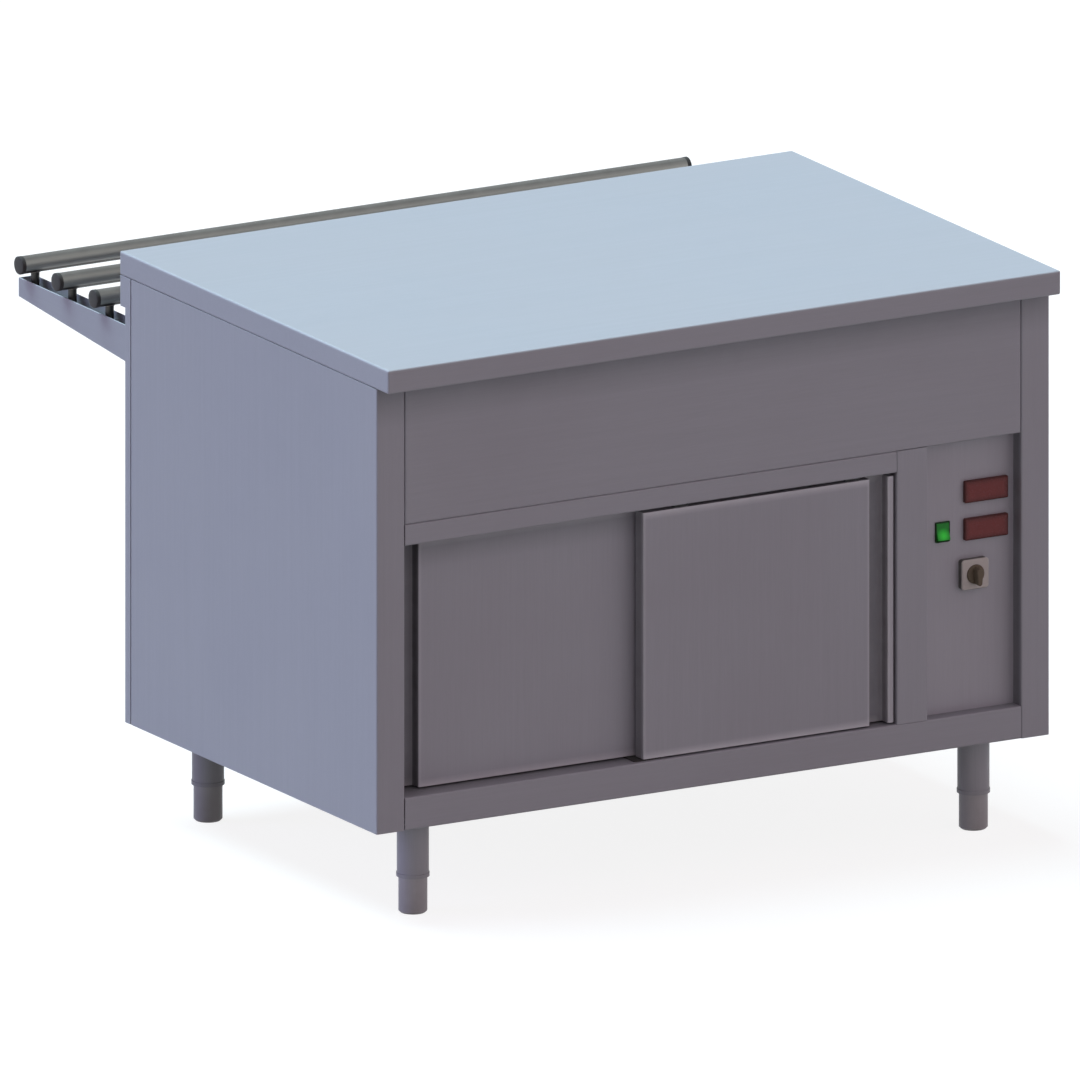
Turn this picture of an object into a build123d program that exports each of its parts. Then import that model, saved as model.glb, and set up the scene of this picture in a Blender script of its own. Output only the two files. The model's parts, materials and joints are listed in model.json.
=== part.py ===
from build123d import *
import os

# Serving counter: a folded steel body on four adjustable legs, with two top-hung sliding doors, a recessed
# control panel and a tray slide on the customers' side. Millimetres throughout.
# Frame: +X runs to the operator's right, +Y from the operator's side to the customers', +Z up.
# The origin is on the floor, under the middle of the whole counter with its tray slide.

# Overall sizes
overall_width = 1200.0
overall_height = 900.0
body_depth = 780.0

# Sheet metal
sheet = 1.5
bend = 1.5
flange = 20.0
seam = 0.6
fit = 0.3

# Worktop
worktop_thickness = 38.0
worktop_front_overhang = 35.0
worktop_rear_overhang = 15.0
worktop_edge_radius = 3.0
stiffener_count = 3
stiffener_web = 60.0
stiffener_gap = 10.0

# Front frame
stile_width = 50.0
frame_return = 25.0
fascia_height = 223.0
fascia_depth = 20.0
head_rail_lip = 8.0
mullion_width = 55.0
control_opening_width = 167.0
bottom_rail_height = 52.0
sill_depth = 80.0
sill_lap = 18.0
rear_wrap = 18.0
rear_tab = 10.0
rear_head_height = 49.0

# Legs
leg_tube_drop = 92.0
leg_tube_diameter = 50.0
leg_tube_wall = 2.0
leg_collar_height = 6.0
leg_collar_step = 1.0
leg_side_inset = 100.0
leg_front_gap = 37.0
leg_rear_inset = 85.0
leg_plate_size = 78.0
leg_plate_thickness = 4.0
leg_plate_corner = 8.0
leg_plate_raise = 8.0
leg_insert_height = 16.0
foot_drop = 58.0
foot_radius = 22.5
foot_hidden = 12.0
foot_bevel = 3.0
foot_stem_radius = 6.0
foot_travel = 50.0
bearer_sheet = 2.0
bearer_web = 92.0
bearer_flange = 16.0

# Cupboard interior
inner_back_gap = 45.0
shelf_rise = 255.0
shelf_edge = 25.0
shelf_front_gap = 95.0

# Doors
door_sheet = 1.2
door_thickness = 24.0
door_lane_gap = 6.0
door_overlap = 20.0
door_side_gap = 2.0
door_bottom_gap = 3.0
door_top_gap = 6.0
grip_lip = 11.0
grip_width = 32.0
grip_back_gap = 6.0
grip_kept_clear = 7.0

# Door hanging gear
track_sheet = 2.0
track_half_width = 13.0
track_setback = 20.0
track_lift = 7.0
track_bead = 3.0
roller_radius = 8.0
roller_rim = 2.0
roller_width = 8.0
roller_groove = 3.4
roller_lift = 0.3
roller_top_gap = 1.7
axle_radius = 3.0
axle_clearance = 0.05
axle_head_radius = 4.5
axle_head_width = 1.5
hanger_inset = 70.0
hanger_half_width = 12.0
hanger_thickness = 3.0
hanger_gap = 2.0
stop_length = 20.0
stop_height = 18.0
stop_gap = 0.5
guide_length = 12.0
guide_width = 5.0
guide_height = 9.0
guide_base_length = 50.0
guide_base_thickness = 2.0
guide_base_margin = 10.0
guide_play = 1.0

# Control panel
panel_overlap = 8.0
panel_flange = 15.0
panel_rise = 16.0
controller_width = 77.0
controller_height = 35.0
controller_proud = 6.0
controller_case_width = 70.4
controller_case_height = 28.4
controller_case_depth = 55.0
controller_corner = 2.0
lens_border = 1.5
lens_thickness = 2.0
lens_proud = 0.4
controller_share = 0.195
upper_controller_drop = 88.0
lower_controller_drop = 148.0
cutout_play = 0.3
rocker_share = 0.42
rocker_drop = 147.0
rocker_frame_width = 26.0
rocker_frame_height = 33.0
rocker_frame_proud = 2.5
rocker_frame_border = 2.0
rocker_frame_overhang = 0.8
rocker_case_depth = 26.0
rocker_play = 0.3
rocker_half_height = 13.3
rocker_edge_proud = 5.2
rocker_middle_proud = 2.8
rocker_root = 4.0
rocker_tilt = 12.0
rocker_pin_radius = 1.5
rocker_pin_length = 0.9
switch_share = 0.557
switch_drop = 219.0
switch_plate_size = 48.0
switch_plate_proud = 11.5
switch_plate_corner = 5.0
switch_pocket_depth = 2.5
knob_radius = 15.0
knob_play = 0.6
knob_base = 4.6
knob_bar_height = 13.0
knob_bar_width = 11.0
knob_bar_up = 12.0
knob_bar_down = 16.0
knob_tip_radius = 4.0
knob_edge = 1.2
knob_shaft_radius = 4.0
switch_case_size = 44.0
switch_case_depth = 46.0
switch_wafer = 9.0
switch_wafer_groove = 1.0

# Wiring pieces
rail_sheet = 1.0
rail_width = 35.0
rail_flange = 4.0
rail_depth = 7.5
rail_length = 180.0
rail_height = 150.0
rail_from_panel = 240.0
terminal_count = 8
terminal_pitch = 12.0
terminal_height = 44.0
terminal_depth = 38.0
terminal_groove = 1.0
terminal_groove_depth = 4.0
terminal_step_share = 0.6
gland_bore_radius = 6.5
gland_thread_radius = 12.5
gland_hex_radius = 17.0
gland_hex_height = 7.0
gland_dome_radius = 14.0
gland_dome_height = 20.0
gland_thread_rise = 10.0
gland_side_gap = 12.0
gland_rear_gap = 120.0

# Tray slide
tube_diameter = 28.0
tube_wall = 1.5
tube_end_inset = 7.0
tube_plug_flange = 2.0
tube_plug_spigot = 14.0
tube_first = 103.0
tube_pitch = 115.0
tube_count = 3
tube_drop = 98.0
tray_post_radius = 6.75
tray_post_height = 12.5
bracket_width = 30.0
bracket_wall = 2.0
bracket_recess = 15.0
bracket_reach = 358.0
bracket_tip = 30.0
bracket_root = 60.0
bracket_side_inset = 18.0
bracket_plate_thickness = 4.0
bracket_plate_margin = 8.0
bracket_plate_rise = 16.0
bracket_plate_drop = 6.0
post_sheet = 2.0
post_width = 40.0
post_depth = 24.0

# Levels and planes worked out from the sizes above
left = -overall_width / 2
right = overall_width / 2
total_depth = worktop_front_overhang + body_depth + bracket_reach
front = worktop_front_overhang - total_depth / 2
rear = front + body_depth
base = leg_tube_drop + foot_drop
deck = overall_height - worktop_thickness
fascia_bottom = deck - fascia_height
sill = base + bottom_rail_height
floor_top = sill - sheet
floor_under = floor_top - sheet
opening_left = left + stile_width
control_right = right - stile_width
control_left = control_right - control_opening_width
opening_right = control_left - mullion_width
opening_width = opening_right - opening_left
inner_back = rear - inner_back_gap
shelf_top = floor_top + shelf_rise
side_rear = rear - rear_wrap - seam
inner_rear = rear - post_depth - sheet - fit
panel_front = front + frame_return
panel_back = panel_front + sheet
fold_radius = bend + sheet

# The head rail is as tall as the rollers and the track behind it need
roller_rim_radius = roller_radius + roller_rim
roller_room = track_bead + roller_lift + roller_radius + roller_rim_radius + roller_top_gap
head_bottom = fascia_bottom - track_lift - 2 * track_sheet - roller_room

# Doors: the right one runs in the lane before the track's web, the left one in the lane behind it
door_width = (opening_width - 2 * door_side_gap + door_overlap) / 2
door_bottom = sill + door_bottom_gap
door_top = head_bottom - door_top_gap
door_height = door_top - door_bottom
grip_depth = door_thickness - grip_back_gap
grip_zone = grip_lip + grip_width + grip_kept_clear
door_travel = opening_width - 2 * door_side_gap - door_width - grip_zone
track_middle = front + track_setback + track_half_width
front_lane = track_middle - door_lane_gap / 2 - door_thickness
rear_lane = track_middle + door_lane_gap / 2
left_door_middle = opening_left + door_side_gap + door_width / 2
right_door_middle = opening_right - door_side_gap - door_width / 2
track_bottom = head_bottom + track_lift
bead_top = track_bottom + track_sheet + track_bead
bead_middle = track_middle - track_half_width + track_sheet / 2
roller_height = bead_top + roller_radius + roller_lift
guide_middle = (opening_left + opening_right) / 2


def block(x, y, z):
    middle = [(low + high) / 2 for low, high in (x, y, z)]
    return Pos(*middle) * Box(x[1] - x[0], y[1] - y[0], z[1] - z[0])


def rod_x(x, y, z, radius):
    return Pos((x[0] + x[1]) / 2, y, z) * Rot(0, 90, 0) * Cylinder(radius, x[1] - x[0])


def rod_y(x, y, z, radius):
    return Pos(x, (y[0] + y[1]) / 2, z) * Rot(90, 0, 0) * Cylinder(radius, y[1] - y[0])


def rod_z(x, y, z, radius):
    return Pos(x, y, (z[0] + z[1]) / 2) * Cylinder(radius, z[1] - z[0])


# Extrusions of a section drawn in the plane square to the axis of the same name
def along_x(section, x):
    return extrude(Plane.YZ.offset(x[0]) * section, x[1] - x[0])


def along_y(section, y):
    plane = Plane((0, y[0], 0), x_dir=(1, 0, 0), z_dir=(0, -1, 0))
    return extrude(plane * section, y[0] - y[1])


def along_z(section, z):
    return extrude(Pos(0, 0, z[0]) * section, z[1] - z[0])


# Section of a folded sheet. One face follows the path, and the sheet lies on the path's left where side
# is 1 and on its right where side is -1.
def folded(path, side, thickness=sheet, inside=bend):
    points = [Vector(*point) for point in path]
    runs = [(after - before).normalized() for before, after in zip(points, points[1:])]
    normals = [Vector(-run.Y, run.X) * side for run in runs]
    near = [(points[0], 0)]
    far = [(points[0] + normals[0] * thickness, 0)]
    for index in range(1, len(runs)):
        before, after = normals[index - 1], normals[index]
        outside = runs[index - 1].cross(runs[index]).Z * side > 0
        mitre = (before + after) * (thickness / (1 + before.dot(after)))
        near.append((points[index], inside + thickness if outside else inside))
        far.append((points[index] + mitre, inside if outside else inside + thickness))
    near.append((points[-1], 0))
    far.append((points[-1] + normals[-1] * thickness, 0))
    corners = near + far[::-1]
    places = [place for place, _ in corners]
    radii = [radius for _, radius in corners]
    return make_face(FilletPolyline(*places, radius=radii, close=True))


# Hat channel section, open upwards, with its flanges' upper faces at the given level
def hat(middle, top, web, depth, lip, thickness):
    half = web / 2
    path = [(middle - half - lip, top), (middle - half, top), (middle - half, top - depth)]
    path += [(middle + half, top - depth), (middle + half, top), (middle + half + lip, top)]
    return folded(path, -1, thickness)


def mirrored_x(shape):
    return mirror(shape, about=Plane.YZ)


def mirrored_lane(shape):
    return mirror(shape, about=Plane.XZ.offset(-track_middle))


def save(node, *shapes):
    solids = [solid for shape in shapes for solid in shape.solids()]
    export_step(solids[0] if len(solids) == 1 else Compound(solids), f"parts/{node}.step")


# Worktop: a pan folded down all round, with lips that rest on the body
def make_worktop():
    y = (front - worktop_front_overhang, rear + worktop_rear_overhang)
    pan = block((left, right), y, (deck, overall_height))
    pan = fillet(pan.edges(), worktop_edge_radius)
    hollow_y = (y[0] + sheet, y[1] - sheet)
    hollow_z = (deck + sheet, overall_height - sheet)
    pan -= block((left + sheet, right - sheet), hollow_y, hollow_z)
    mouth_x = (left + sheet + flange, right - sheet - flange)
    mouth_y = (front + flange, rear - flange)
    return pan - block(mouth_x, mouth_y, (deck - sheet, deck + 2 * sheet))


def make_stiffeners():
    under = overall_height - sheet
    x = (left + 2 * flange, right - 2 * flange)
    height = worktop_thickness - stiffener_gap
    pitch = body_depth / stiffener_count
    rows = [front + pitch * (row + 0.5) for row in range(stiffener_count)]
    return [along_x(hat(y, under, stiffener_web, height, flange, sheet), x) for y in rows]


# Left side panel: stile and return folded on at the front, short tab at the rear, flanges top and bottom
def make_side_panel():
    path = [(opening_left, panel_front), (opening_left, front), (left, front), (left, side_rear)]
    path.append((left + rear_tab, side_rear))
    panel = along_z(folded(path, -1), (base, deck))
    x = (left + sheet / 2, left + sheet + flange)
    y = (panel_front + flange, side_rear - flange)
    panel += block(x, y, (base, base + sheet))
    return panel + block(x, y, (deck - sheet, deck))


# Rear panel: wrapped round both ends, with a box fold along its top that stands out to the worktop's edge
def make_rear_panel():
    path = [(left, rear - rear_wrap), (left, rear), (right, rear), (right, rear - rear_wrap)]
    panel = along_z(folded(path, -1), (base, deck))
    inset = rear_tab + 2 * sheet
    x = (left + inset, right - inset)
    y = (rear - sheet - flange, rear - sheet / 2)
    panel += block(x, y, (base, base + sheet))
    panel += block(x, y, (deck - sheet, deck))
    edge = rear + worktop_rear_overhang
    level = deck - rear_head_height
    head = block((left, right), (rear - sheet / 2, edge), (level, deck))
    panel += fillet(head.faces().sort_by(Axis.Y)[-1].edges(), fold_radius)
    corner = block((left, left + sheet), (rear - 2 * fold_radius, rear + fold_radius), (level, deck))
    panel += [corner, mirrored_x(corner)]
    hollow_y = (rear - 2 * sheet, edge - sheet)
    return panel - block((left + sheet, right - sheet), hollow_y, (level + sheet, deck - sheet))


def make_fascia():
    x = (opening_left + seam, control_right - seam)
    pan = block(x, (front, front + fascia_depth), (fascia_bottom, deck))
    pan = fillet(pan.faces().sort_by(Axis.Y)[0].edges(), fold_radius)
    inner_x = (x[0] + sheet, x[1] - sheet)
    inner_y = (front + sheet, front + fascia_depth + sheet)
    return pan - block(inner_x, inner_y, (fascia_bottom + sheet, deck - sheet))


def make_head_rail():
    path = [(front + head_rail_lip, head_bottom), (front, head_bottom), (front, fascia_bottom)]
    path.append((front + track_setback - fit, fascia_bottom))
    return along_x(folded(path, -1), (opening_left + seam, opening_right - seam))


def make_mullion():
    path = [(opening_right, panel_front), (opening_right, front), (control_left, front)]
    path.append((control_left, panel_front))
    return along_z(folded(path, 1), (sill, fascia_bottom))


def make_bottom_rail():
    path = [(panel_front, base), (front, base), (front, sill), (front + sill_depth, sill)]
    return along_x(folded(path, -1), (opening_left + seam, control_right - seam))


def make_floor():
    back = rear - sheet - fit
    path = [(front + sill_depth - sill_lap, floor_top), (back, floor_top), (back, floor_top - flange)]
    floor = along_x(folded(path, -1), (left + sheet + fit, right - sheet - fit))
    tab_front = side_rear - fold_radius - fit
    corner = block((left, left + rear_tab + fit), (tab_front, rear), (base, sill))
    floor -= corner
    floor -= mirrored_x(corner)
    return floor - rod_z(gland_x, gland_y, (floor_under - sheet, floor_top + sheet), gland_thread_radius + fit)


def make_ceiling():
    x = (opening_left - flange, opening_right + flange)
    y = (panel_front + fit, inner_rear)
    return block(x, y, (fascia_bottom, fascia_bottom + sheet))


# Cupboard wall whose inner face stands at x, with flanges turned away from the cupboard
def inner_wall(x, away):
    path = [(x + away * flange, floor_top), (x, floor_top), (x, fascia_bottom)]
    path.append((x + away * flange, fascia_bottom))
    return along_y(folded(path, -away), (panel_front + fit, inner_rear))


# Wall between the cupboard and the control compartment. Its front end stands on the sill.
def make_compartment_wall():
    wall = inner_wall(opening_right, 1)
    over_sill = (front, front + sill_depth + fit)
    notch_x = (opening_right - sheet, opening_right + 2 * flange)
    return wall - block(notch_x, over_sill, (floor_top - sheet, sill))


def make_inner_back():
    path = [(inner_back + flange - sheet, floor_top), (inner_back, floor_top), (inner_back, fascia_bottom)]
    path.append((inner_back + flange - sheet, fascia_bottom))
    return along_x(folded(path, -1), (opening_left + fit, opening_right - fit))


def make_shelf():
    x = (opening_left + 2 * sheet, opening_right - 2 * sheet)
    y = (front + shelf_front_gap, inner_back - 2 * sheet)
    pan = block(x, y, (shelf_top - shelf_edge, shelf_top))
    pan = fillet(pan.faces().sort_by(Axis.Z)[-1].edges(), fold_radius)
    hollow_x = (x[0] + sheet, x[1] - sheet)
    hollow_y = (y[0] + sheet, y[1] - sheet)
    return pan - block(hollow_x, hollow_y, (shelf_top - shelf_edge - sheet, shelf_top - sheet))


def make_shelf_runners():
    seat = shelf_top - shelf_edge
    y = (front + shelf_front_gap, inner_back - flange)
    runners = []
    for x, inward in ((opening_left, 1), (opening_right, -1)):
        path = [(x, seat - flange), (x, seat), (x + inward * flange, seat)]
        runners.append(along_y(folded(path, -inward), y))
    return runners


# Door skin: one folded sheet with the grip channel near its right edge. Local frame: middle of the width,
# front face and bottom edge.
def make_door_skin():
    half = door_width / 2
    back = door_thickness - door_sheet
    grip = half - grip_lip - grip_width
    path = [(-half, back), (-half, 0), (grip, 0), (grip, grip_depth), (half - grip_lip, grip_depth)]
    path += [(half - grip_lip, 0), (half, 0), (half, back)]
    return along_z(folded(path, 1, door_sheet, door_sheet), (0, door_height))


# Door back: flat sheet with a top and a bottom plate that fit inside the skin. The bottom plate is slotted
# for the floor guide.
def make_door_back():
    half = door_width / 2
    inset = door_sheet + fit / 2
    back = block((-half, half), (door_thickness - door_sheet, door_thickness), (0, door_height))
    channel_x = (half - grip_lip - grip_width - inset, half - grip_lip + inset)
    channel_y = (-door_sheet, grip_depth + inset)
    for z in (0, door_height - door_sheet):
        span = (z, z + door_sheet)
        plate = block((-half + inset, half - inset), (inset, door_thickness - door_sheet / 2), span)
        plate -= block(channel_x, channel_y, span)
        corners = plate.edges().filter_by(Axis.Z).group_by(Axis.Y)[0]
        back += fillet(corners, door_sheet + fit)
    guide_start = guide_middle - right_door_middle
    slot_x = (-half, guide_start + door_travel + guide_length / 2 + guide_play)
    slot_half = guide_width / 2 + guide_play
    slot_y = (door_thickness / 2 - slot_half, door_thickness / 2 + slot_half)
    return back - block(slot_x, slot_y, (-door_sheet, 2 * door_sheet))


def place_door(shape, lane, middle):
    return Pos(middle, lane, door_bottom) * shape


# Track: an upside-down T with a bead along each edge, which the rollers run on
def make_track():
    web = track_sheet / 2
    ledge = track_bottom + track_sheet
    half = [(0, fascia_bottom), (track_half_width, fascia_bottom)]
    half += [(track_half_width, fascia_bottom - track_sheet), (web, fascia_bottom - track_sheet)]
    half += [(web, ledge), (track_half_width - track_sheet, ledge)]
    half += [(track_half_width - track_sheet, bead_top), (track_half_width, bead_top)]
    half += [(track_half_width, track_bottom), (0, track_bottom)]
    outline = [(track_middle + y, z) for y, z in half]
    outline += [(track_middle - y, z) for y, z in half[-2:0:-1]]
    section = make_face(Polyline(*outline, close=True))
    return along_x(section, (opening_left + 2 * door_side_gap, opening_right - 2 * door_side_gap))


# Roller of the front lane, with a groove that straddles the track's bead
def make_roller(x):
    half = roller_width / 2
    roller = rod_y(x, (bead_middle - half, bead_middle + half), roller_height, roller_rim_radius)
    groove = (bead_middle - roller_groove / 2, bead_middle + roller_groove / 2)
    ring = rod_y(x, groove, roller_height, 2 * roller_rim_radius)
    roller -= ring - rod_y(x, groove, roller_height, roller_radius)
    bore = (bead_middle - roller_width, bead_middle + roller_width)
    return roller - rod_y(x, bore, roller_height, axle_radius + axle_clearance)


# Hanger of the front lane: an angle on the door's top edge with the roller's axle riveted in
def make_hanger(x):
    face = bead_middle - roller_width / 2 - hanger_gap
    far = bead_middle + roller_width / 2
    wide = (x - hanger_half_width, x + hanger_half_width)
    plate = block(wide, (face - hanger_thickness, face), (door_top, roller_height + roller_radius))
    plate = fillet(plate.edges().filter_by(Axis.Y).group_by(Axis.Z)[-1], roller_radius / 2)
    foot = block(wide, (face - hanger_thickness, far), (door_top, door_top + hanger_thickness))
    hanger = plate + foot
    hanger += rod_y(x, (face - hanger_thickness, far + fit + axle_head_width), roller_height, axle_radius)
    hanger += rod_y(x, (face, face + hanger_gap - fit), roller_height, axle_head_radius)
    head = (far + fit, far + fit + axle_head_width)
    return hanger + rod_y(x, head, roller_height, axle_head_radius)


def hanger_places(middle):
    reach = door_width / 2 - hanger_inset
    return [middle - reach, middle + reach]


# Stop block of the front lane, standing in the track beside the web
def make_stop(x):
    y = (track_middle - track_half_width + track_sheet + fit, track_middle - track_sheet / 2)
    z = (track_bottom + track_sheet, track_bottom + track_sheet + stop_height)
    return block(x, y, z)


def make_stops():
    reach = roller_rim_radius + stop_gap
    left_first, left_last = hanger_places(left_door_middle)
    right_first, right_last = hanger_places(right_door_middle)
    stops = []
    for place in (right_last + reach, right_first - door_travel - reach - stop_length):
        stops.append(make_stop((place, place + stop_length)))
    for place in (left_first - reach - stop_length, left_last + door_travel + reach):
        stops.append(mirrored_lane(make_stop((place, place + stop_length))))
    return stops


# Double floor guide: one fin for each door, on a base screwed to the sill
def make_guide():
    fins = [lane + door_thickness / 2 for lane in (front_lane, rear_lane)]
    base_x = (guide_middle - guide_base_length / 2, guide_middle + guide_base_length / 2)
    base_y = (fins[0] - guide_base_margin, fins[1] + guide_base_margin)
    guide = block(base_x, base_y, (sill, sill + guide_base_thickness))
    guide = fillet(guide.edges().filter_by(Axis.Z), guide_base_margin / 2)
    for y in fins:
        fin_x = (guide_middle - guide_length / 2, guide_middle + guide_length / 2)
        fin_y = (y - guide_width / 2, y + guide_width / 2)
        fin = block(fin_x, fin_y, (sill, sill + guide_base_thickness + guide_height))
        guide += fillet(fin.edges().filter_by(Axis.Z), guide_width / 3)
    return guide


def leg_places():
    columns = (left + leg_side_inset, right - leg_side_inset)
    rows = (panel_front + leg_front_gap, rear - leg_rear_inset)
    return [(x, y) for y in rows for x in columns]


# Leg bearer: a hat channel under the floor that the leg plates are screwed to
def make_bearer(x):
    web_top = base + leg_plate_raise + leg_plate_thickness + bearer_sheet
    section = hat(x, floor_under, bearer_web, floor_under - web_top, bearer_flange, bearer_sheet)
    return along_y(section, (panel_front + seam, inner_rear))


# Leg: top plate, tube with a collar at its lower end, and a welded-in threaded plug for the foot
def make_leg(x, y):
    tube_top = base + leg_plate_raise
    radius = leg_tube_diameter / 2
    bore = radius - leg_tube_wall
    half = leg_plate_size / 2
    plate = block((x - half, x + half), (y - half, y + half), (tube_top, tube_top + leg_plate_thickness))
    plate = chamfer(plate.edges().filter_by(Axis.Z), leg_plate_corner)
    leg = rod_z(x, y, (foot_drop, tube_top), radius)
    leg += rod_z(x, y, (foot_drop, foot_drop + leg_collar_height), radius + leg_collar_step)
    leg -= rod_z(x, y, (foot_drop - sheet, tube_top), bore)
    plug_bottom = foot_drop + foot_hidden
    plug = rod_z(x, y, (plug_bottom, plug_bottom + leg_insert_height), bore + leg_tube_wall / 2)
    plug_bore = (plug_bottom - sheet, plug_bottom + 2 * leg_insert_height)
    leg += plug - rod_z(x, y, plug_bore, foot_stem_radius + axle_clearance)
    return leg + plate


# Foot: a round pad with a bevelled lower edge, on a stem that runs in the leg's plug
def make_foot(x, y):
    top = foot_drop + foot_hidden - fit
    pad = rod_z(x, y, (0, top), foot_radius)
    pad = chamfer(pad.edges().group_by(Axis.Z)[0], foot_bevel)
    stem_top = foot_drop + foot_hidden + leg_insert_height + foot_travel
    return pad + rod_z(x, y, (top, stem_top), foot_stem_radius)


panel_free = control_opening_width - controller_width - rocker_frame_width
controller_x = control_right - controller_share * panel_free - controller_width / 2
controller_levels = {"upper": fascia_bottom - upper_controller_drop,
                     "lower": fascia_bottom - lower_controller_drop}
rocker_x = control_left + rocker_share * panel_free + rocker_frame_width / 2
rocker_z = fascia_bottom - rocker_drop
switch_x = control_left + switch_share * control_opening_width
switch_z = fascia_bottom - switch_drop
gland_x = opening_right + flange + gland_hex_radius + gland_side_gap
gland_y = rear - gland_rear_gap


# Rectangular prism centred on x and z, standing between two planes of y
def face_block(x, z, width, height, y):
    return block((x - width / 2, x + width / 2), y, (z - height / 2, z + height / 2))


def make_control_panel():
    x = (control_left - panel_overlap, control_right + panel_overlap)
    path = [(x[0], panel_front + panel_flange), (x[0], panel_front), (x[1], panel_front)]
    path.append((x[1], panel_front + panel_flange))
    panel = along_z(folded(path, 1), (sill, fascia_bottom + panel_rise))
    cut = (panel_front - sheet, panel_back + sheet)
    play = 2 * cutout_play
    for z in controller_levels.values():
        panel -= face_block(controller_x, z, controller_case_width + play, controller_case_height + play, cut)
    width = rocker_frame_width - 2 * rocker_frame_overhang + play
    height = rocker_frame_height - 2 * rocker_frame_overhang + play
    panel -= face_block(rocker_x, rocker_z, width, height, cut)
    return panel - rod_y(switch_x, cut, switch_z, knob_shaft_radius + knob_play)


def make_controller(z):
    face = panel_front - controller_proud
    bezel = face_block(controller_x, z, controller_width, controller_height, (face, panel_front))
    bezel = fillet(bezel.edges().filter_by(Axis.Y), controller_corner)
    bezel = chamfer(bezel.faces().sort_by(Axis.Y)[0].edges(), lens_border / 3)
    recess = (face - sheet, face + lens_thickness - lens_proud)
    border = 2 * lens_border
    bezel -= face_block(controller_x, z, controller_width - border, controller_height - border, recess)
    case = (panel_front - sheet, panel_front + controller_case_depth)
    return bezel + face_block(controller_x, z, controller_case_width, controller_case_height, case)


def make_lens(z):
    seat = panel_front - controller_proud + lens_thickness - lens_proud
    shrink = 2 * lens_border + fit
    lens = face_block(controller_x, z, controller_width - shrink, controller_height - shrink,
                      (seat - lens_thickness, seat))
    return chamfer(lens.faces().sort_by(Axis.Y)[0].edges(), lens_proud)


def rocker_mouth():
    border = 2 * rocker_frame_border
    return rocker_frame_width - border, rocker_frame_height - border


# Rocker housing: a bezel on the panel and a box behind it, open to the front
def make_rocker_housing():
    face = panel_front - rocker_frame_proud
    width, height = rocker_mouth()
    bezel = face_block(rocker_x, rocker_z, rocker_frame_width, rocker_frame_height, (face, panel_front))
    bezel = fillet(bezel.edges().filter_by(Axis.Y), controller_corner)
    bezel = chamfer(bezel.faces().sort_by(Axis.Y)[0].edges(), rocker_frame_border / 3)
    case_width = rocker_frame_width - 2 * rocker_frame_overhang
    case_height = rocker_frame_height - 2 * rocker_frame_overhang
    case = (panel_front - rocker_frame_proud / 2, panel_front + rocker_case_depth)
    housing = bezel + face_block(rocker_x, rocker_z, case_width, case_height, case)
    housing -= face_block(rocker_x, rocker_z, width, height, (face - sheet, panel_front + rocker_half_height))
    reach = width / 2 + rocker_pin_length
    return housing - rod_x((rocker_x - reach, rocker_x + reach), panel_front, rocker_z,
                           rocker_pin_radius + axle_clearance)


# Rocker: a shallow V in front of a round root, on two pivot pins. It rests with its upper half pressed in.
def make_rocker():
    tall = rocker_half_height
    outline = Polyline((0, tall), (-rocker_edge_proud, tall), (-rocker_middle_proud, 0),
                       (-rocker_edge_proud, -tall), (0, -tall))
    outline += ThreePointArc((0, -tall), (rocker_root, 0), (0, tall))
    width = rocker_mouth()[0] - 2 * rocker_play
    rocker = along_x(make_face(outline), (-width / 2, width / 2))
    pins = width / 2 + rocker_play + rocker_pin_length - fit
    rocker += rod_x((-pins, pins), 0, 0, rocker_pin_radius)
    return Pos(rocker_x, panel_front, rocker_z) * Rot(-rocker_tilt, 0, 0) * rocker


def make_switch_plate():
    face = panel_front - switch_plate_proud
    plate = face_block(switch_x, switch_z, switch_plate_size, switch_plate_size, (face, panel_front))
    plate = fillet(plate.edges().filter_by(Axis.Y), switch_plate_corner)
    plate = chamfer(plate.faces().sort_by(Axis.Y)[0].edges(), sheet)
    plate -= rod_y(switch_x, (face - sheet, face + switch_pocket_depth), switch_z, knob_radius + knob_play)
    return plate - rod_y(switch_x, (face, panel_front + sheet), switch_z, knob_shaft_radius + axle_clearance)


# Cam switch body: a stack of wafers behind the panel, bored for the shaft
def make_switch_body():
    y = (panel_back, panel_back + switch_case_depth)
    body = face_block(switch_x, switch_z, switch_case_size, switch_case_size, y)
    body = chamfer(body.edges().filter_by(Axis.Y), switch_plate_corner)
    for wafer in range(1, int(switch_case_depth / switch_wafer)):
        groove = (y[0] + wafer * switch_wafer, y[0] + wafer * switch_wafer + switch_wafer_groove)
        outer = face_block(switch_x, switch_z, switch_case_size, switch_case_size, groove)
        inner = switch_case_size - 2 * switch_wafer_groove
        body -= outer - face_block(switch_x, switch_z, inner, inner, groove)
    bore = (panel_front, panel_back + switch_case_depth - switch_wafer)
    return body - rod_y(switch_x, bore, switch_z, knob_shaft_radius + axle_clearance)


# Knob: round base, tapered bar that points down, and the switch shaft
def make_knob():
    seat = panel_front - switch_plate_proud + switch_pocket_depth - fit
    rim = seat - knob_base
    crown = rim - knob_bar_height
    base_disc = rod_y(switch_x, (rim, seat), switch_z, knob_radius)
    base_disc = chamfer(base_disc.edges().group_by(Axis.Y)[0], knob_edge)
    half = knob_bar_width / 2
    ends = [Pos(0, knob_bar_up - half) * Circle(half).edge()]
    ends.append(Pos(0, knob_tip_radius - knob_bar_down) * Circle(knob_tip_radius).edge())
    bar = along_y(Pos(switch_x, switch_z) * make_hull(ends), (crown, rim + sheet))
    bar = chamfer(bar.faces().sort_by(Axis.Y)[0].edges(), knob_edge)
    tail = panel_back + switch_case_depth - switch_wafer - fit
    return base_disc + bar + rod_y(switch_x, (rim + sheet, tail), switch_z, knob_shaft_radius)


rail_y = panel_back + rail_from_panel
rail_z = sill + rail_height
rail_seat = opening_right + sheet


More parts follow.
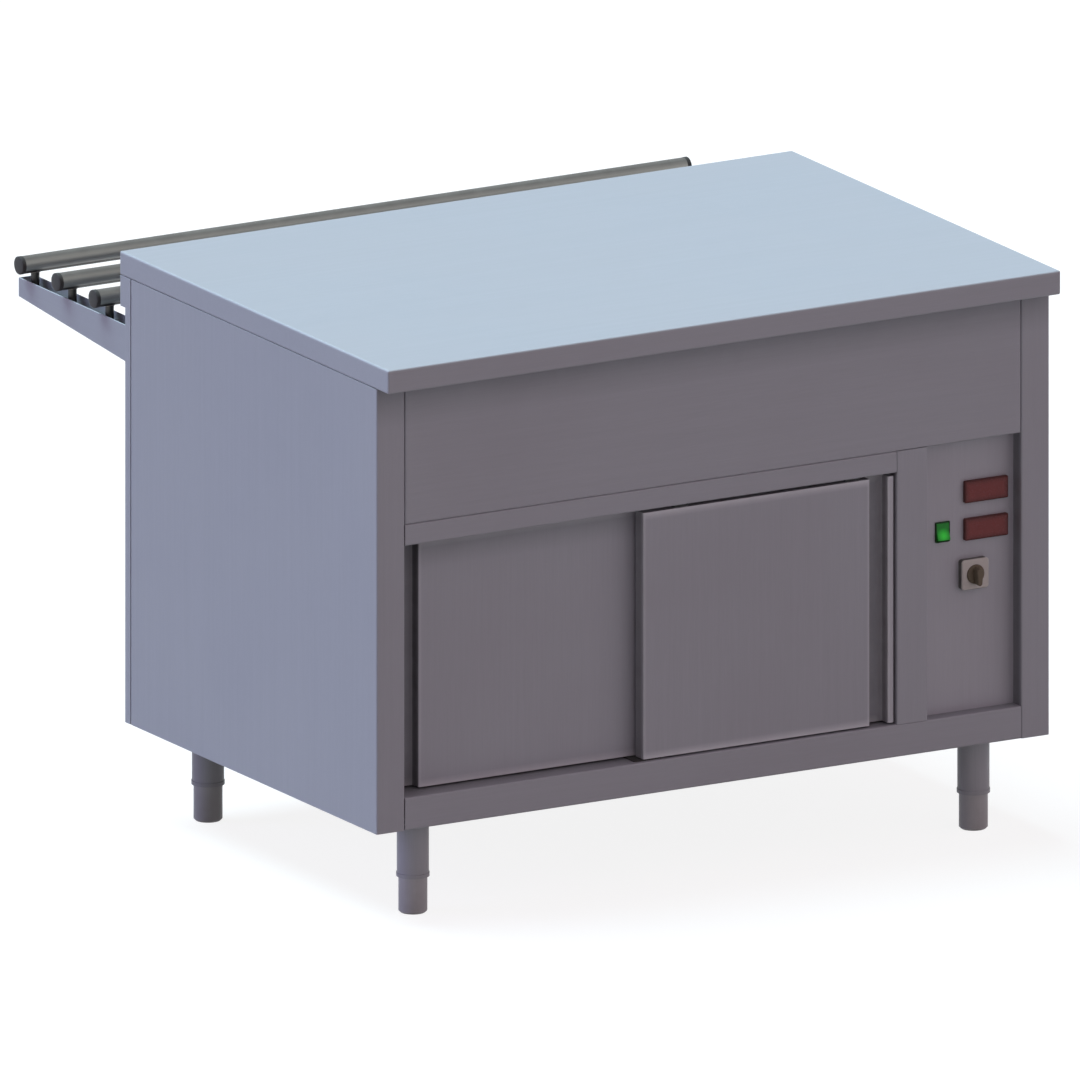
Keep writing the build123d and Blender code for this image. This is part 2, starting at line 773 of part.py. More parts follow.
def make_terminal_rail():
    high = rail_width / 2
    low = high - rail_flange
    face = rail_seat + rail_depth
    path = [(face, rail_z + high), (face, rail_z + low), (rail_seat, rail_z + low), (rail_seat, rail_z - low)]
    path += [(face, rail_z - low), (face, rail_z - high)]
    return along_y(folded(path, 1, rail_sheet, rail_sheet / 2), (rail_y, rail_y + rail_length))


# Terminal block: a stepped profile along the rail, grooved between its ways
def make_terminal_block():
    length = terminal_count * terminal_pitch
    start = rail_y + (rail_length - length) / 2
    seat = rail_seat + rail_depth + rail_sheet
    step = seat + terminal_depth * terminal_step_share
    face = seat + terminal_depth
    wide = terminal_height / 2
    narrow = wide * terminal_step_share
    outline = [(seat, rail_z - wide), (step, rail_z - wide), (step, rail_z - narrow), (face, rail_z - narrow)]
    outline += [(x, 2 * rail_z - z) for x, z in outline[::-1]]
    terminals = along_y(make_face(Polyline(*outline, close=True)), (start, start + length))
    for number in range(1, terminal_count):
        y = start + terminal_pitch * number
        cut = (y - terminal_groove / 2, y + terminal_groove / 2)
        terminals -= block((step - terminal_groove_depth, face + sheet), cut, (rail_z - wide, rail_z + wide))
    return terminals


# Cable gland through the floor of the control compartment
def make_gland():
    dome_top = floor_under - gland_hex_height
    bottom = dome_top - gland_dome_height
    hexagon = Pos(gland_x, gland_y, dome_top) * extrude(RegularPolygon(gland_hex_radius, 6), gland_hex_height)
    dome = rod_z(gland_x, gland_y, (bottom, dome_top), gland_dome_radius)
    dome = chamfer(dome.edges().group_by(Axis.Z)[0], gland_dome_radius / 4)
    thread_top = floor_top + gland_thread_rise
    gland = hexagon + dome + rod_z(gland_x, gland_y, (dome_top, thread_top), gland_thread_radius)
    return gland - rod_z(gland_x, gland_y, (bottom - sheet, thread_top + sheet), gland_bore_radius)


tube_radius = tube_diameter / 2
tube_height = overall_height - tube_drop
tube_length = overall_width - 2 * tube_end_inset
tube_rows = [rear + tube_first + tube_pitch * number for number in range(tube_count)]
bracket_top = tube_height - tube_radius - tray_post_height
bracket_web = bracket_top - bracket_recess
bracket_middles = (left + bracket_side_inset + bracket_width / 2, right - bracket_side_inset - bracket_width / 2)


def make_tray_tube(y):
    half = tube_length / 2
    tube = rod_x((-half, half), y, tube_height, tube_radius)
    return tube - rod_x((-half - sheet, half + sheet), y, tube_height, tube_radius - tube_wall)


def make_tube_plugs():
    half = tube_length / 2
    plugs = []
    for y in tube_rows:
        cap = rod_x((half, half + tube_plug_flange), y, tube_height, tube_radius)
        cap = chamfer(cap.edges().group_by(Axis.X)[-1], tube_plug_flange / 2)
        spigot = (half - tube_plug_spigot, half)
        plug = cap + rod_x(spigot, y, tube_height, tube_radius - tube_wall - fit / 2)
        plugs += [plug, mirrored_x(plug)]
    return plugs


# Posts between the brackets and the tubes, with saddle tops
def make_tray_posts():
    posts = []
    for x in bracket_middles:
        for y in tube_rows:
            post = rod_z(x, y, (bracket_web, tube_height - tube_radius / 2), tray_post_radius)
            reach = (x - tube_radius, x + tube_radius)
            posts.append(post - rod_x(reach, y, tube_height, tube_radius + axle_clearance))
    return posts


# Bracket: two tapered walls with a web set in below their upper edges, on a plate that is screwed to the
# post behind the rear panel
def make_bracket(x):
    root = rear + bracket_plate_thickness
    tip = rear + bracket_reach
    half = bracket_width / 2
    outline = Polyline((root - sheet, bracket_top), (tip, bracket_top), (tip, bracket_top - bracket_tip),
                       (root - sheet, bracket_top - bracket_root), close=True)
    arm = along_x(make_face(outline), (x - half, x + half))
    arm = fillet(arm.faces().sort_by(Axis.Z)[-1].edges().filter_by(Axis.Y), bracket_wall / 2)
    inner_x = (x - half + bracket_wall, x + half - bracket_wall)
    inner_y = (rear, tip - bracket_wall)
    arm -= block(inner_x, inner_y, (bracket_web, bracket_top + bracket_wall))
    arm -= block(inner_x, inner_y, (bracket_top - 2 * bracket_root, bracket_web - bracket_wall))
    low = bracket_top - bracket_root - bracket_plate_drop
    high = bracket_top + bracket_plate_rise
    wide = half + bracket_plate_margin
    plate = block((x - wide, x + wide), (rear, root), (low, high))
    plate = fillet(plate.edges().filter_by(Axis.Y), bracket_plate_margin / 2)
    return arm + plate


# Upright inside the rear panel, behind the plate of a tray bracket
def make_rear_post(x):
    half = post_width / 2
    seat = rear - sheet
    path = [(x - half, seat - post_depth), (x - half, seat), (x + half, seat), (x + half, seat - post_depth)]
    return along_z(folded(path, -1, post_sheet), (floor_top, deck - sheet))


os.makedirs("parts", exist_ok=True)

# Body
side_panel = make_side_panel()
save("worktop", make_worktop())
save("worktop_stiffeners", *make_stiffeners())
save("left_side_panel", side_panel)
save("right_side_panel", mirrored_x(side_panel))
save("rear_panel", make_rear_panel())
save("rear_posts", *[make_rear_post(x) for x in bracket_middles])
save("front_fascia", make_fascia())
save("head_rail", make_head_rail())
save("mullion", make_mullion())
save("bottom_rail", make_bottom_rail())

# Cupboard
save("cupboard_floor", make_floor())
save("cupboard_ceiling", make_ceiling())
save("left_inner_wall", inner_wall(opening_left, -1))
save("compartment_wall", make_compartment_wall())
save("inner_back", make_inner_back())
save("middle_shelf", make_shelf())
save("shelf_runners", *make_shelf_runners())

# Doors and their hanging gear
save("door_track", make_track())
save("track_stops", *make_stops())
save("door_guide", make_guide())
door_skin = make_door_skin()
door_back = make_door_back()
right_hangers = hanger_places(right_door_middle)
left_hangers = hanger_places(left_door_middle)
save("right_door_skin", place_door(door_skin, front_lane, right_door_middle))
save("right_door_back", place_door(door_back, front_lane, right_door_middle))
save("right_door_hangers", *[make_hanger(x) for x in right_hangers])
save("left_door_skin", place_door(mirrored_x(door_skin), rear_lane, left_door_middle))
save("left_door_back", place_door(mirrored_x(door_back), rear_lane, left_door_middle))
save("left_door_hangers", *[mirrored_lane(make_hanger(x)) for x in left_hangers])
for end, right_x, left_x in zip(("left", "right"), right_hangers, left_hangers):
    save(f"right_door_{end}_roller", make_roller(right_x))
    save(f"left_door_{end}_roller", mirrored_lane(make_roller(left_x)))

# Legs
save("leg_bearers", *[make_bearer(x) for x in (left + leg_side_inset, right - leg_side_inset)])
save("leg_tubes", *[make_leg(*place) for place in leg_places()])
for corner, place in zip(("front_left", "front_right", "rear_left", "rear_right"), leg_places()):
    save(f"{corner}_foot", make_foot(*place))

# Controls and wiring
save("control_panel", make_control_panel())
for level, z in controller_levels.items():
    save(f"{level}_controller", make_controller(z))
    save(f"{level}_lens", make_lens(z))
save("rocker_housing", make_rocker_housing())
save("rocker_button", make_rocker())
save("cam_switch_plate", make_switch_plate())
save("cam_switch_body", make_switch_body())
save("cam_switch_knob", make_knob())
save("terminal_rail", make_terminal_rail())
save("terminal_block", make_terminal_block())
save("cable_gland", make_gland())

# Tray slide
for name, x in zip(("left", "right"), bracket_middles):
    save(f"{name}_tray_bracket", make_bracket(x))
for name, y in zip(("inner", "middle", "outer"), tube_rows):
    save(f"{name}_tray_tube", make_tray_tube(y))
save("tube_plugs", *make_tube_plugs())
save("tray_posts", *make_tray_posts())
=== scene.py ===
import json
import math
import bpy
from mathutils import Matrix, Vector


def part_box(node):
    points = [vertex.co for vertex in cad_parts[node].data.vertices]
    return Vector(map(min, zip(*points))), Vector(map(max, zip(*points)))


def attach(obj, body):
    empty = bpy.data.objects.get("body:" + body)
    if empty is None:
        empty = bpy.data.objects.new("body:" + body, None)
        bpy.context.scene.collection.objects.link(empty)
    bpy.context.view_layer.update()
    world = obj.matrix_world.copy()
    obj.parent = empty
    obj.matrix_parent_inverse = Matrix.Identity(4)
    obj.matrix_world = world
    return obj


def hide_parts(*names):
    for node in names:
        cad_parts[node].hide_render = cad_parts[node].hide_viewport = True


# Finishes of the serving counter, its small fasteners, tube caps, weld beads and threaded feet, then floor,
# light and camera. Metres throughout.
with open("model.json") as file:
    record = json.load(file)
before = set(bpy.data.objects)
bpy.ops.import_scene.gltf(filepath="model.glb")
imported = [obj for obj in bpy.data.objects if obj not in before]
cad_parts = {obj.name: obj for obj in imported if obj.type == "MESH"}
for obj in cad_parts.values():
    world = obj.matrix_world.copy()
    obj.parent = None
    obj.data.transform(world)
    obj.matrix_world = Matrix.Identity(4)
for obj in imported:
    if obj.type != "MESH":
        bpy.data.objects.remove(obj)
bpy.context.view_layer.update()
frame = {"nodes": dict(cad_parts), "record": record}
scene = bpy.context.scene
scene.view_settings.view_transform = "Standard"
print("frame loaded:", len(frame["nodes"]), "nodes")

noiseSpan = (0.3, 0.7)  # where most values of a noise texture lie
socketKinds = {float: "NodeSocketFloat", int: "NodeSocketInt", tuple: "NodeSocketVector"}
fixedSockets = {"metallic": "Metallic", "shine": "Specular IOR Level", "rough": "Roughness",
                "glow": "Emission Strength"}
alongX, alongY, alongZ = (1, 0, 0), (0, 1, 0), (0, 0, 1)
white = (1, 1, 1, 1)


# Adds a node; inputs take a value or the socket to link from
def addNode(tree, kind, inputs=None, **settings):
    made = tree.nodes.new(kind)
    for name, value in settings.items():
        setattr(made, name, value)
    for key, value in (inputs or {}).items():
        if isinstance(value, bpy.types.NodeSocket):
            tree.links.new(value, made.inputs[key])
        else:
            made.inputs[key].default_value = value
    return made


def calc(tree, operation, *values):
    return addNode(tree, "ShaderNodeMath", dict(enumerate(values)), operation=operation).outputs[0]


def times(tree, value, share):
    return calc(tree, "MULTIPLY", value, share)


# Dot products and distances give a value, the other operations a vector
def vectorCalc(tree, operation, *values):
    made = addNode(tree, "ShaderNodeVectorMath", dict(enumerate(values)), operation=operation)
    return made.outputs["Value" if operation in ("DOT_PRODUCT", "DISTANCE") else "Vector"]


def scaleVector(tree, vector, factor):
    return addNode(tree, "ShaderNodeVectorMath", {0: vector, "Scale": factor}, operation="SCALE").outputs[0]


def splitAxes(tree, vector):
    return addNode(tree, "ShaderNodeSeparateXYZ", {0: vector}).outputs


# Carries a value from one range to another, clamped at both ends
def remap(tree, value, fromLow, fromHigh, toLow, toHigh):
    ends = {"Value": value, "From Min": fromLow, "From Max": fromHigh, "To Min": toLow, "To Max": toHigh}
    return addNode(tree, "ShaderNodeMapRange", ends).outputs[0]


def mixColours(tree, share, first, second):
    made = addNode(tree, "ShaderNodeMix", {"Factor": share}, data_type="RGBA")
    for socket, value in zip([s for s in made.inputs if s.type == "RGBA"], (first, second)):
        if isinstance(value, bpy.types.NodeSocket):
            tree.links.new(value, socket)
        else:
            socket.default_value = (*value, 1)
    return next(s for s in made.outputs if s.type == "RGBA")


def noise(tree, vector, scale, detail=2.0, roughness=0.5, distortion=0.0):
    ends = {"Vector": vector, "Scale": scale, "Detail": detail, "Roughness": roughness,
            "Distortion": distortion}
    return addNode(tree, "ShaderNodeTexNoise", ends).outputs["Fac"]


# Starts a node group and returns its tree, what it is given and what it puts out. An input is named with its
# default or, where it has none, with its kind
def newGroup(name, treeType, inputs, outputs):
    tree = bpy.data.node_groups.new(name, treeType)
    for label, value in inputs.items():
        kind = value if isinstance(value, str) else socketKinds[type(value)]
        socket = tree.interface.new_socket(label, in_out="INPUT", socket_type=kind)
        if kind != value:
            socket.default_value = value
    made = "NodeSocketGeometry" if treeType == "GeometryNodeTree" else "NodeSocketFloat"
    for label in outputs:
        tree.interface.new_socket(label, in_out="OUTPUT", socket_type=made)
    return tree, tree.nodes.new("NodeGroupInput").outputs, tree.nodes.new("NodeGroupOutput").inputs


def shaderGroup(name, sizes, *outputs):
    return newGroup(name, "ShaderNodeTree", {"Vector": "NodeSocketVector", **sizes}, outputs)


def shapeTree(name, source, sizes, output):
    inputs = {source: "NodeSocketGeometry", **sizes, "Finish": "NodeSocketMaterial"}
    return newGroup(name, "GeometryNodeTree", inputs, [output])


# Brushed grain: fine lines and wider streaks that run along one direction.
# Noises here and below are given by scale, detail, roughness and distortion
grainLook = {"lines": (1.0, 2.0, 0.65), "streaks": (0.11, 3.0, 0.6)}


def makeBrushGrain(look):
    tree, given, put = shaderGroup("brushGrain", {"Along": alongX, "Width": 0.0006, "Length": 0.06},
                                   "Lines", "Streaks")
    point, along = given["Vector"], given["Along"]
    onAxis = vectorCalc(tree, "DOT_PRODUCT", point, along)
    fine = calc(tree, "DIVIDE", 1.0, given["Width"])
    coarse = calc(tree, "DIVIDE", 1.0, given["Length"])
    squeeze = times(tree, onAxis, calc(tree, "SUBTRACT", fine, coarse))
    across = scaleVector(tree, point, fine)
    stretched = vectorCalc(tree, "SUBTRACT", across, scaleVector(tree, along, squeeze))
    tree.links.new(noise(tree, stretched, *look["lines"]), put["Lines"])
    tree.links.new(noise(tree, stretched, *look["streaks"]), put["Streaks"])
    return tree


# Wipe marks: soft cloudy patches left by a cloth, with smears inside them. Both scales follow the size
wipeLook = {"clouds": (3.0, 0.55, 0.6), "smears": (2.0, 0.5, 1.6), "smearScale": 4.0, "patch": (0.42, 0.64)}


def makeWipeMarks(look):
    tree, given, put = shaderGroup("wipeMarks", {"Size": 0.25}, "Marks", "Clouds")
    point = given["Vector"]
    scale = calc(tree, "DIVIDE", 1.0, given["Size"])
    clouds = noise(tree, point, scale, *look["clouds"])
    smears = noise(tree, point, times(tree, scale, look["smearScale"]), *look["smears"])
    patches = remap(tree, clouds, *look["patch"], 0.0, 1.0)
    tree.links.new(times(tree, patches, smears), put["Marks"])
    tree.links.new(clouds, put["Clouds"])
    return tree


# Floor dirt: a mask that is full at the floor and fades out at a height, broken up by specks
dirtLook = {"specks": (60.0, 4.0, 0.65)}


def makeFloorDirt(look):
    tree, given, put = shaderGroup("floorDirt", {"Height": 0.12}, "Dirt")
    point = given["Vector"]
    fade = remap(tree, splitAxes(tree, point)["Z"], 0.0, given["Height"], 1.0, 0.0)
    tree.links.new(times(tree, fade, noise(tree, point, *look["specks"])), put["Dirt"])
    return tree


# Moulded texture: the fine spark-eroded grain of plastic mouldings, whose scale follows the grain
mouldLook = {"texture": (3.0, 0.6), "patches": (90.0, 3.0, 0.5)}


def makeMouldGrain(look):
    tree, given, put = shaderGroup("mouldGrain", {"Grain": 0.0004}, "Texture", "Patches")
    point = given["Vector"]
    scale = calc(tree, "DIVIDE", 1.0, given["Grain"])
    tree.links.new(noise(tree, point, scale, *look["texture"]), put["Texture"])
    tree.links.new(noise(tree, point, *look["patches"]), put["Patches"])
    return tree


# Painted shade: a mask that is full inside a box and fades out towards its sides, broken up by patches
shadeBoxLook = {"patches": (35.0, 3.0, 0.6), "least": 0.85}


def makeShadeBox(look):
    tree, given, put = shaderGroup("recessGrime", {"Low": (0, 0, 0), "High": (1, 1, 1), "Fade": (0.008,) * 3},
                                   "Grime")
    point = given["Vector"]
    fromLow = vectorCalc(tree, "SUBTRACT", point, given["Low"])
    fromHigh = vectorCalc(tree, "SUBTRACT", given["High"], point)
    share = vectorCalc(tree, "DIVIDE", vectorCalc(tree, "MINIMUM", fromLow, fromHigh), given["Fade"])
    nearest = splitAxes(tree, share)
    depth = calc(tree, "MINIMUM", calc(tree, "MINIMUM", nearest["X"], nearest["Y"]), nearest["Z"])
    patches = remap(tree, noise(tree, point, *look["patches"]), *noiseSpan, look["least"], 1.0)
    inside = remap(tree, depth, 0.0, 1.0, 0.0, 1.0)
    tree.links.new(times(tree, inside, patches), put["Grime"])
    return tree


# Edge band: a mask along the four sides of an upright or a lying rectangle, for painted highlights along
# edges and for the darker rims of the red windows
edgeBandLook = {"patches": (25.0, 3.0, 0.6), "least": 0.8}


def makeEdgeBand(look):
    tree, given, put = shaderGroup("edgePolish", {"Low": (0, 0, 0), "High": (1, 1, 1), "Width": 0.004},
                                   "Upright", "Lying")
    point, width = given["Vector"], given["Width"]
    fromLow = vectorCalc(tree, "ABSOLUTE", vectorCalc(tree, "SUBTRACT", point, given["Low"]))
    fromHigh = vectorCalc(tree, "ABSOLUTE", vectorCalc(tree, "SUBTRACT", given["High"], point))
    nearest = splitAxes(tree, vectorCalc(tree, "MINIMUM", fromLow, fromHigh))
    patchy = remap(tree, noise(tree, point, *look["patches"]), *noiseSpan, look["least"], 1.0)
    upright = calc(tree, "MINIMUM", nearest["X"], nearest["Z"])
    fromTop = splitAxes(tree, fromHigh)["Z"]
    lying = calc(tree, "MAXIMUM", calc(tree, "MINIMUM", nearest["X"], nearest["Y"]), fromTop)
    for label, away in (("Upright", upright), ("Lying", lying)):
        tree.links.new(times(tree, remap(tree, away, 0.0, width, 1.0, 0.0), patchy), put[label])
    return tree


brushGrain = makeBrushGrain(grainLook)
wipeMarks = makeWipeMarks(wipeLook)
floorDirt = makeFloorDirt(dirtLook)
mouldGrain = makeMouldGrain(mouldLook)
recessGrime = makeShadeBox(shadeBoxLook)
edgePolish = makeEdgeBand(edgeBandLook)
print("shader groups built")


# Starts a material and returns it with its tree, its shader and its Object coordinates
def newMaterial(name):
    material = bpy.data.materials.new(name)
    material.use_nodes = True
    tree = material.node_tree
    shader = tree.nodes["Principled BSDF"]
    place = tree.nodes.new("ShaderNodeTexCoord").outputs["Object"]
    return material, tree, shader, place


def useGroup(tree, group, place, **values):
    made = tree.nodes.new("ShaderNodeGroup")
    made.node_tree = group
    tree.links.new(place, made.inputs["Vector"])
    for name, value in values.items():
        made.inputs[name].default_value = value
    return made.outputs


# Darkens a colour with painted shade inside boxes, each given by its two corners, how far in it fades and its
# share of painted shade
def addPaintedShade(tree, place, colour, finish, recesses):
    for low, high, fade, share in recesses:
        grime = useGroup(tree, recessGrime, place, Low=low, High=high, Fade=fade)["Grime"]
        colour = mixColours(tree, times(tree, grime, share), colour, finish["grime"])
    return colour


def roughFrom(tree, finish, texture, span=noiseSpan):
    return remap(tree, texture, *span, finish["roughLow"], finish["roughHigh"])


# What is the same all over a surface is set on the shader's own sockets
def setFixed(shader, finish):
    for key, socket in fixedSockets.items():
        if key in finish:
            shader.inputs[socket].default_value = finish[key]


# Links colour and roughness to the shader, with a fine relief where one is given
def dressShader(tree, shader, finish, colour, rough, relief=None):
    tree.links.new(colour, shader.inputs["Base Color"])
    tree.links.new(rough, shader.inputs["Roughness"])
    setFixed(shader, finish)
    if relief is not None:
        bump = addNode(tree, "ShaderNodeBump", {"Height": relief, "Strength": finish["bump"],
                                                "Distance": finish["bumpDepth"]})
        tree.links.new(bump.outputs["Normal"], shader.inputs["Normal"])


# Sheet steel with a brushed finish; the grain runs along the given direction. Painted highlights go along the
# given edges and painted shade into the given boxes
def makeSheetSteel(name, finish, along, recesses=(), highlightEdges=()):
    material, tree, shader, place = newMaterial(name)
    grain = useGroup(tree, brushGrain, place, Along=along, Width=finish["lineWidth"],
                     Length=finish["lineLength"])
    wiped = useGroup(tree, wipeMarks, place, Size=finish["wipeSize"])
    dirt = useGroup(tree, floorDirt, place, Height=finish["dirtHeight"])
    scratched = remap(tree, grain["Lines"], *noiseSpan, -finish["lineShade"], finish["lineShade"])
    streaked = calc(tree, "ADD", grain["Streaks"], scratched)
    brushed = mixColours(tree, streaked, finish["dark"], finish["light"])
    cloudy = times(tree, wiped["Clouds"], finish["cloudShare"])
    dirty = times(tree, dirt["Dirt"], finish["dirtShare"])
    colour = mixColours(tree, dirty, mixColours(tree, cloudy, brushed, finish["cloud"]), finish["dirt"])
    # Painted highlights along the given edges
    for low, high, width, share, lie in highlightEdges:
        polish = useGroup(tree, edgePolish, place, Low=low, High=high, Width=width)[lie]
        colour = mixColours(tree, times(tree, polish, share), colour, finish["polish"])
    # Painted shade inside the given boxes
    colour = addPaintedShade(tree, place, colour, finish, recesses)
    plain = roughFrom(tree, finish, grain["Lines"])
    smeared = calc(tree, "MULTIPLY_ADD", wiped["Marks"], finish["smearRough"], plain)
    rough = calc(tree, "MULTIPLY_ADD", dirty, finish["dirtRough"], smeared)
    dressShader(tree, shader, finish, colour, rough, grain["Lines"])
    return material


satinFinish = {
    "dark": (0.39, 0.40, 0.44), "light": (0.43, 0.44, 0.485), "cloud": (0.44, 0.45, 0.49),
    "dirt": (0.15, 0.13, 0.115), "cloudShare": 0.3, "dirtShare": 0.3, "dirtHeight": 0.09, "dirtRough": 0.25,
    # Next line: the colour of painted shade in hollows, then the colour of painted highlights along edges
    "grime": (0.05, 0.045, 0.045), "polish": (0.68, 0.69, 0.73),
    "metallic": 0.12, "shine": 0.3, "roughLow": 0.46, "roughHigh": 0.6, "smearRough": 0.1, "wipeSize": 0.32,
    "lineWidth": 0.0007, "lineLength": 0.05, "lineShade": 0.45, "bump": 0.2, "bumpDepth": 0.0002}
innerFinish = dict(satinFinish, dark=(0.37, 0.38, 0.40), light=(0.44, 0.45, 0.47), roughLow=0.26,
                   roughHigh=0.38, lineWidth=0.0012, lineLength=0.09, bump=0.06)
tubeFinish = dict(satinFinish, dark=(0.30, 0.295, 0.28), light=(0.36, 0.355, 0.335),
                  cloud=(0.35, 0.345, 0.325), metallic=0.9, roughLow=0.38, roughHigh=0.5,
                  lineWidth=0.0005, lineLength=0.2, bump=0.08)
legFinish = dict(satinFinish, dark=(0.36, 0.37, 0.40), light=(0.41, 0.42, 0.45), roughLow=0.36, roughHigh=0.5)
footFinish = dict(legFinish, dark=(0.46, 0.465, 0.475), light=(0.51, 0.515, 0.525))
# Lighter than the satin finish: painted light that lifts the recessed control panel to the fascia's
# brightness
litPanelFinish = dict(satinFinish, dark=(0.43, 0.435, 0.475), light=(0.475, 0.48, 0.525),
                   cloud=(0.48, 0.485, 0.53))
# Tray posts: tube steel painted near black, as painted shade between the tubes and the brackets
shadedPostFinish = dict(tubeFinish, dark=(0.05, 0.049, 0.047), light=(0.07, 0.069, 0.066),
                  cloud=(0.07, 0.069, 0.066))


# Galvanised sheet: a crystal spangle in slightly different greys
def makeGalvanised(finish):
    material, tree, shader, place = newMaterial("galvanisedSheet")
    swirl = addNode(tree, "ShaderNodeTexNoise", {"Vector": place, "Scale": finish["warpScale"]})
    warp = vectorCalc(tree, "MULTIPLY", swirl.outputs["Color"], (finish["warp"],) * 3)
    bent = vectorCalc(tree, "ADD", place, warp)
    cells = addNode(tree, "ShaderNodeTexVoronoi", {"Vector": bent, "Scale": finish["spangleScale"]})
    shade = addNode(tree, "ShaderNodeSeparateColor", {0: cells.outputs["Color"]}).outputs[0]
    colour = mixColours(tree, shade, finish["dark"], finish["light"])
    dressShader(tree, shader, finish, colour, roughFrom(tree, finish, shade, (0.0, 1.0)), shade)
    return material


galvanisedFinish = {
    "dark": (0.30, 0.32, 0.33), "light": (0.47, 0.49, 0.50), "metallic": 0.5, "roughLow": 0.35,
    "roughHigh": 0.55, "spangleScale": 140.0, "warpScale": 40.0, "warp": 0.012, "bump": 0.1,
    "bumpDepth": 0.0002}


# Zinc hardware, dark grey near black as painted shade for the hangers in the gap above the doors, with a
# faint brown and blue cast in patches, and the heat tint of welds
def makeZinc(name, finish):
    material, tree, shader, place = newMaterial(name)
    colour = mixColours(tree, noise(tree, place, *finish["cast"]), finish["warm"], finish["cool"])
    specks = noise(tree, place, *finish["specks"])
    dressShader(tree, shader, finish, colour, roughFrom(tree, finish, specks), specks)
    return material


zincFinish = {
    "warm": (0.050, 0.046, 0.042), "cool": (0.040, 0.044, 0.052), "metallic": 0.5, "roughLow": 0.3,
    "roughHigh": 0.46, "cast": (70.0, 3.0, 0.6, 0.8), "specks": (1800.0, 3.0, 0.6), "bump": 0.1,
    "bumpDepth": 0.0001}
weldFinish = dict(zincFinish, warm=(0.30, 0.23, 0.15), cool=(0.17, 0.18, 0.23), cast=(220.0, 3.0, 0.6, 0.8))


# Drawn aluminium: die lines along the track
def makeTrackAluminium(finish):
    material, tree, shader, place = newMaterial("drawnAluminium")
    grain = useGroup(tree, brushGrain, place, Along=alongX, Width=finish["lineWidth"],
                     Length=finish["lineLength"])
    colour = mixColours(tree, grain["Streaks"], finish["dark"], finish["light"])
    dressShader(tree, shader, finish, colour, roughFrom(tree, finish, grain["Lines"]), grain["Lines"])
    return material


aluminiumFinish = {
    "dark": (0.46, 0.47, 0.48), "light": (0.60, 0.61, 0.62), "metallic": 0.7, "roughLow": 0.25,
    "roughHigh": 0.4, "lineWidth": 0.0009, "lineLength": 0.5, "bump": 0.12, "bumpDepth": 0.0002}


# Moulded plastic with its fine surface grain, and painted shade inside any given boxes
def makePlastic(name, finish, recesses=()):
    material, tree, shader, place = newMaterial(name)
    mould = useGroup(tree, mouldGrain, place, Grain=finish["grain"])
    colour = mixColours(tree, mould["Patches"], finish["dark"], finish["light"])
    colour = addPaintedShade(tree, place, colour, finish, recesses)
    dressShader(tree, shader, finish, colour, roughFrom(tree, finish, mould["Texture"]), mould["Texture"])
    return material


blackFinish = {"dark": (0.022, 0.020, 0.019), "light": (0.036, 0.033, 0.031), "roughLow": 0.38,
               "roughHigh": 0.56, "grain": 0.0005, "bump": 0.25, "bumpDepth": 0.0001, "shine": 0.15,
               # Colour of painted shade on mouldings, used on the sides of the cam switch plate
               "grime": (0.03, 0.028, 0.027)}
greyFinish = dict(blackFinish, dark=(0.74, 0.76, 0.70), light=(0.80, 0.82, 0.76), roughLow=0.42,
                  roughHigh=0.58)
maroonFinish = dict(blackFinish, dark=(0.10, 0.032, 0.030), light=(0.13, 0.042, 0.039))
knobFinish = dict(blackFinish, dark=(0.175, 0.15, 0.105), light=(0.225, 0.195, 0.14))
housingFinish = dict(blackFinish, dark=(0.012, 0.05, 0.014), light=(0.018, 0.07, 0.02))
darkFinish = dict(blackFinish, dark=(0.05, 0.048, 0.047), light=(0.07, 0.067, 0.065))
nylonFinish = dict(blackFinish, dark=(0.66, 0.65, 0.60), light=(0.75, 0.74, 0.69), roughLow=0.35,
                   roughHigh=0.5, bump=0.1)


# Smoked red window of a controller: darker towards its rim, glossy in front
def makeRedLens(finish):
    material, tree, shader, place = newMaterial("smokedRedWindow")
    mould = useGroup(tree, mouldGrain, place, Grain=finish["grain"])
    rims = [useGroup(tree, edgePolish, place, Low=low, High=high, Width=finish["rimWidth"])["Upright"]
            for low, high in (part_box("upper_lens"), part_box("lower_lens"))]
    rim = times(tree, calc(tree, "MAXIMUM", *rims), finish["rimShare"])
    window = mixColours(tree, mould["Patches"], finish["dark"], finish["light"])
    colour = mixColours(tree, rim, window, finish["rim"])
    dressShader(tree, shader, finish, colour, roughFrom(tree, finish, mould["Texture"]))
    return material


lensFinish = {"dark": (0.21, 0.043, 0.042), "light": (0.28, 0.056, 0.053), "rim": (0.085, 0.018, 0.018),
              "rimWidth": 0.007, "rimShare": 0.65, "roughLow": 0.22, "roughHigh": 0.3, "shine": 0.22,
              "grain": 0.002}


# Green rocker: a moulding that glows with the switch's lamp; the bright spot on its lower half is also a
# painted highlight
def makeGreenRocker(finish):
    material, tree, shader, place = newMaterial("litGreenRocker")
    low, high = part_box("rocker_button")
    mould = useGroup(tree, mouldGrain, place, Grain=finish["grain"])
    colour = mixColours(tree, mould["Patches"], finish["dark"], finish["light"])
    tree.links.new(colour, shader.inputs["Base Color"])
    glowSpot = Vector(((low.x + high.x) / 2, low.y, low.z + finish["lampHeight"] * (high.z - low.z)))
    away = vectorCalc(tree, "DISTANCE", place, glowSpot)
    glow = remap(tree, away, 0.0, finish["lampReach"], 1.0, 0.0)
    tree.links.new(mixColours(tree, glow, finish["unlit"], finish["lit"]), shader.inputs["Emission Color"])
    setFixed(shader, finish)
    return material


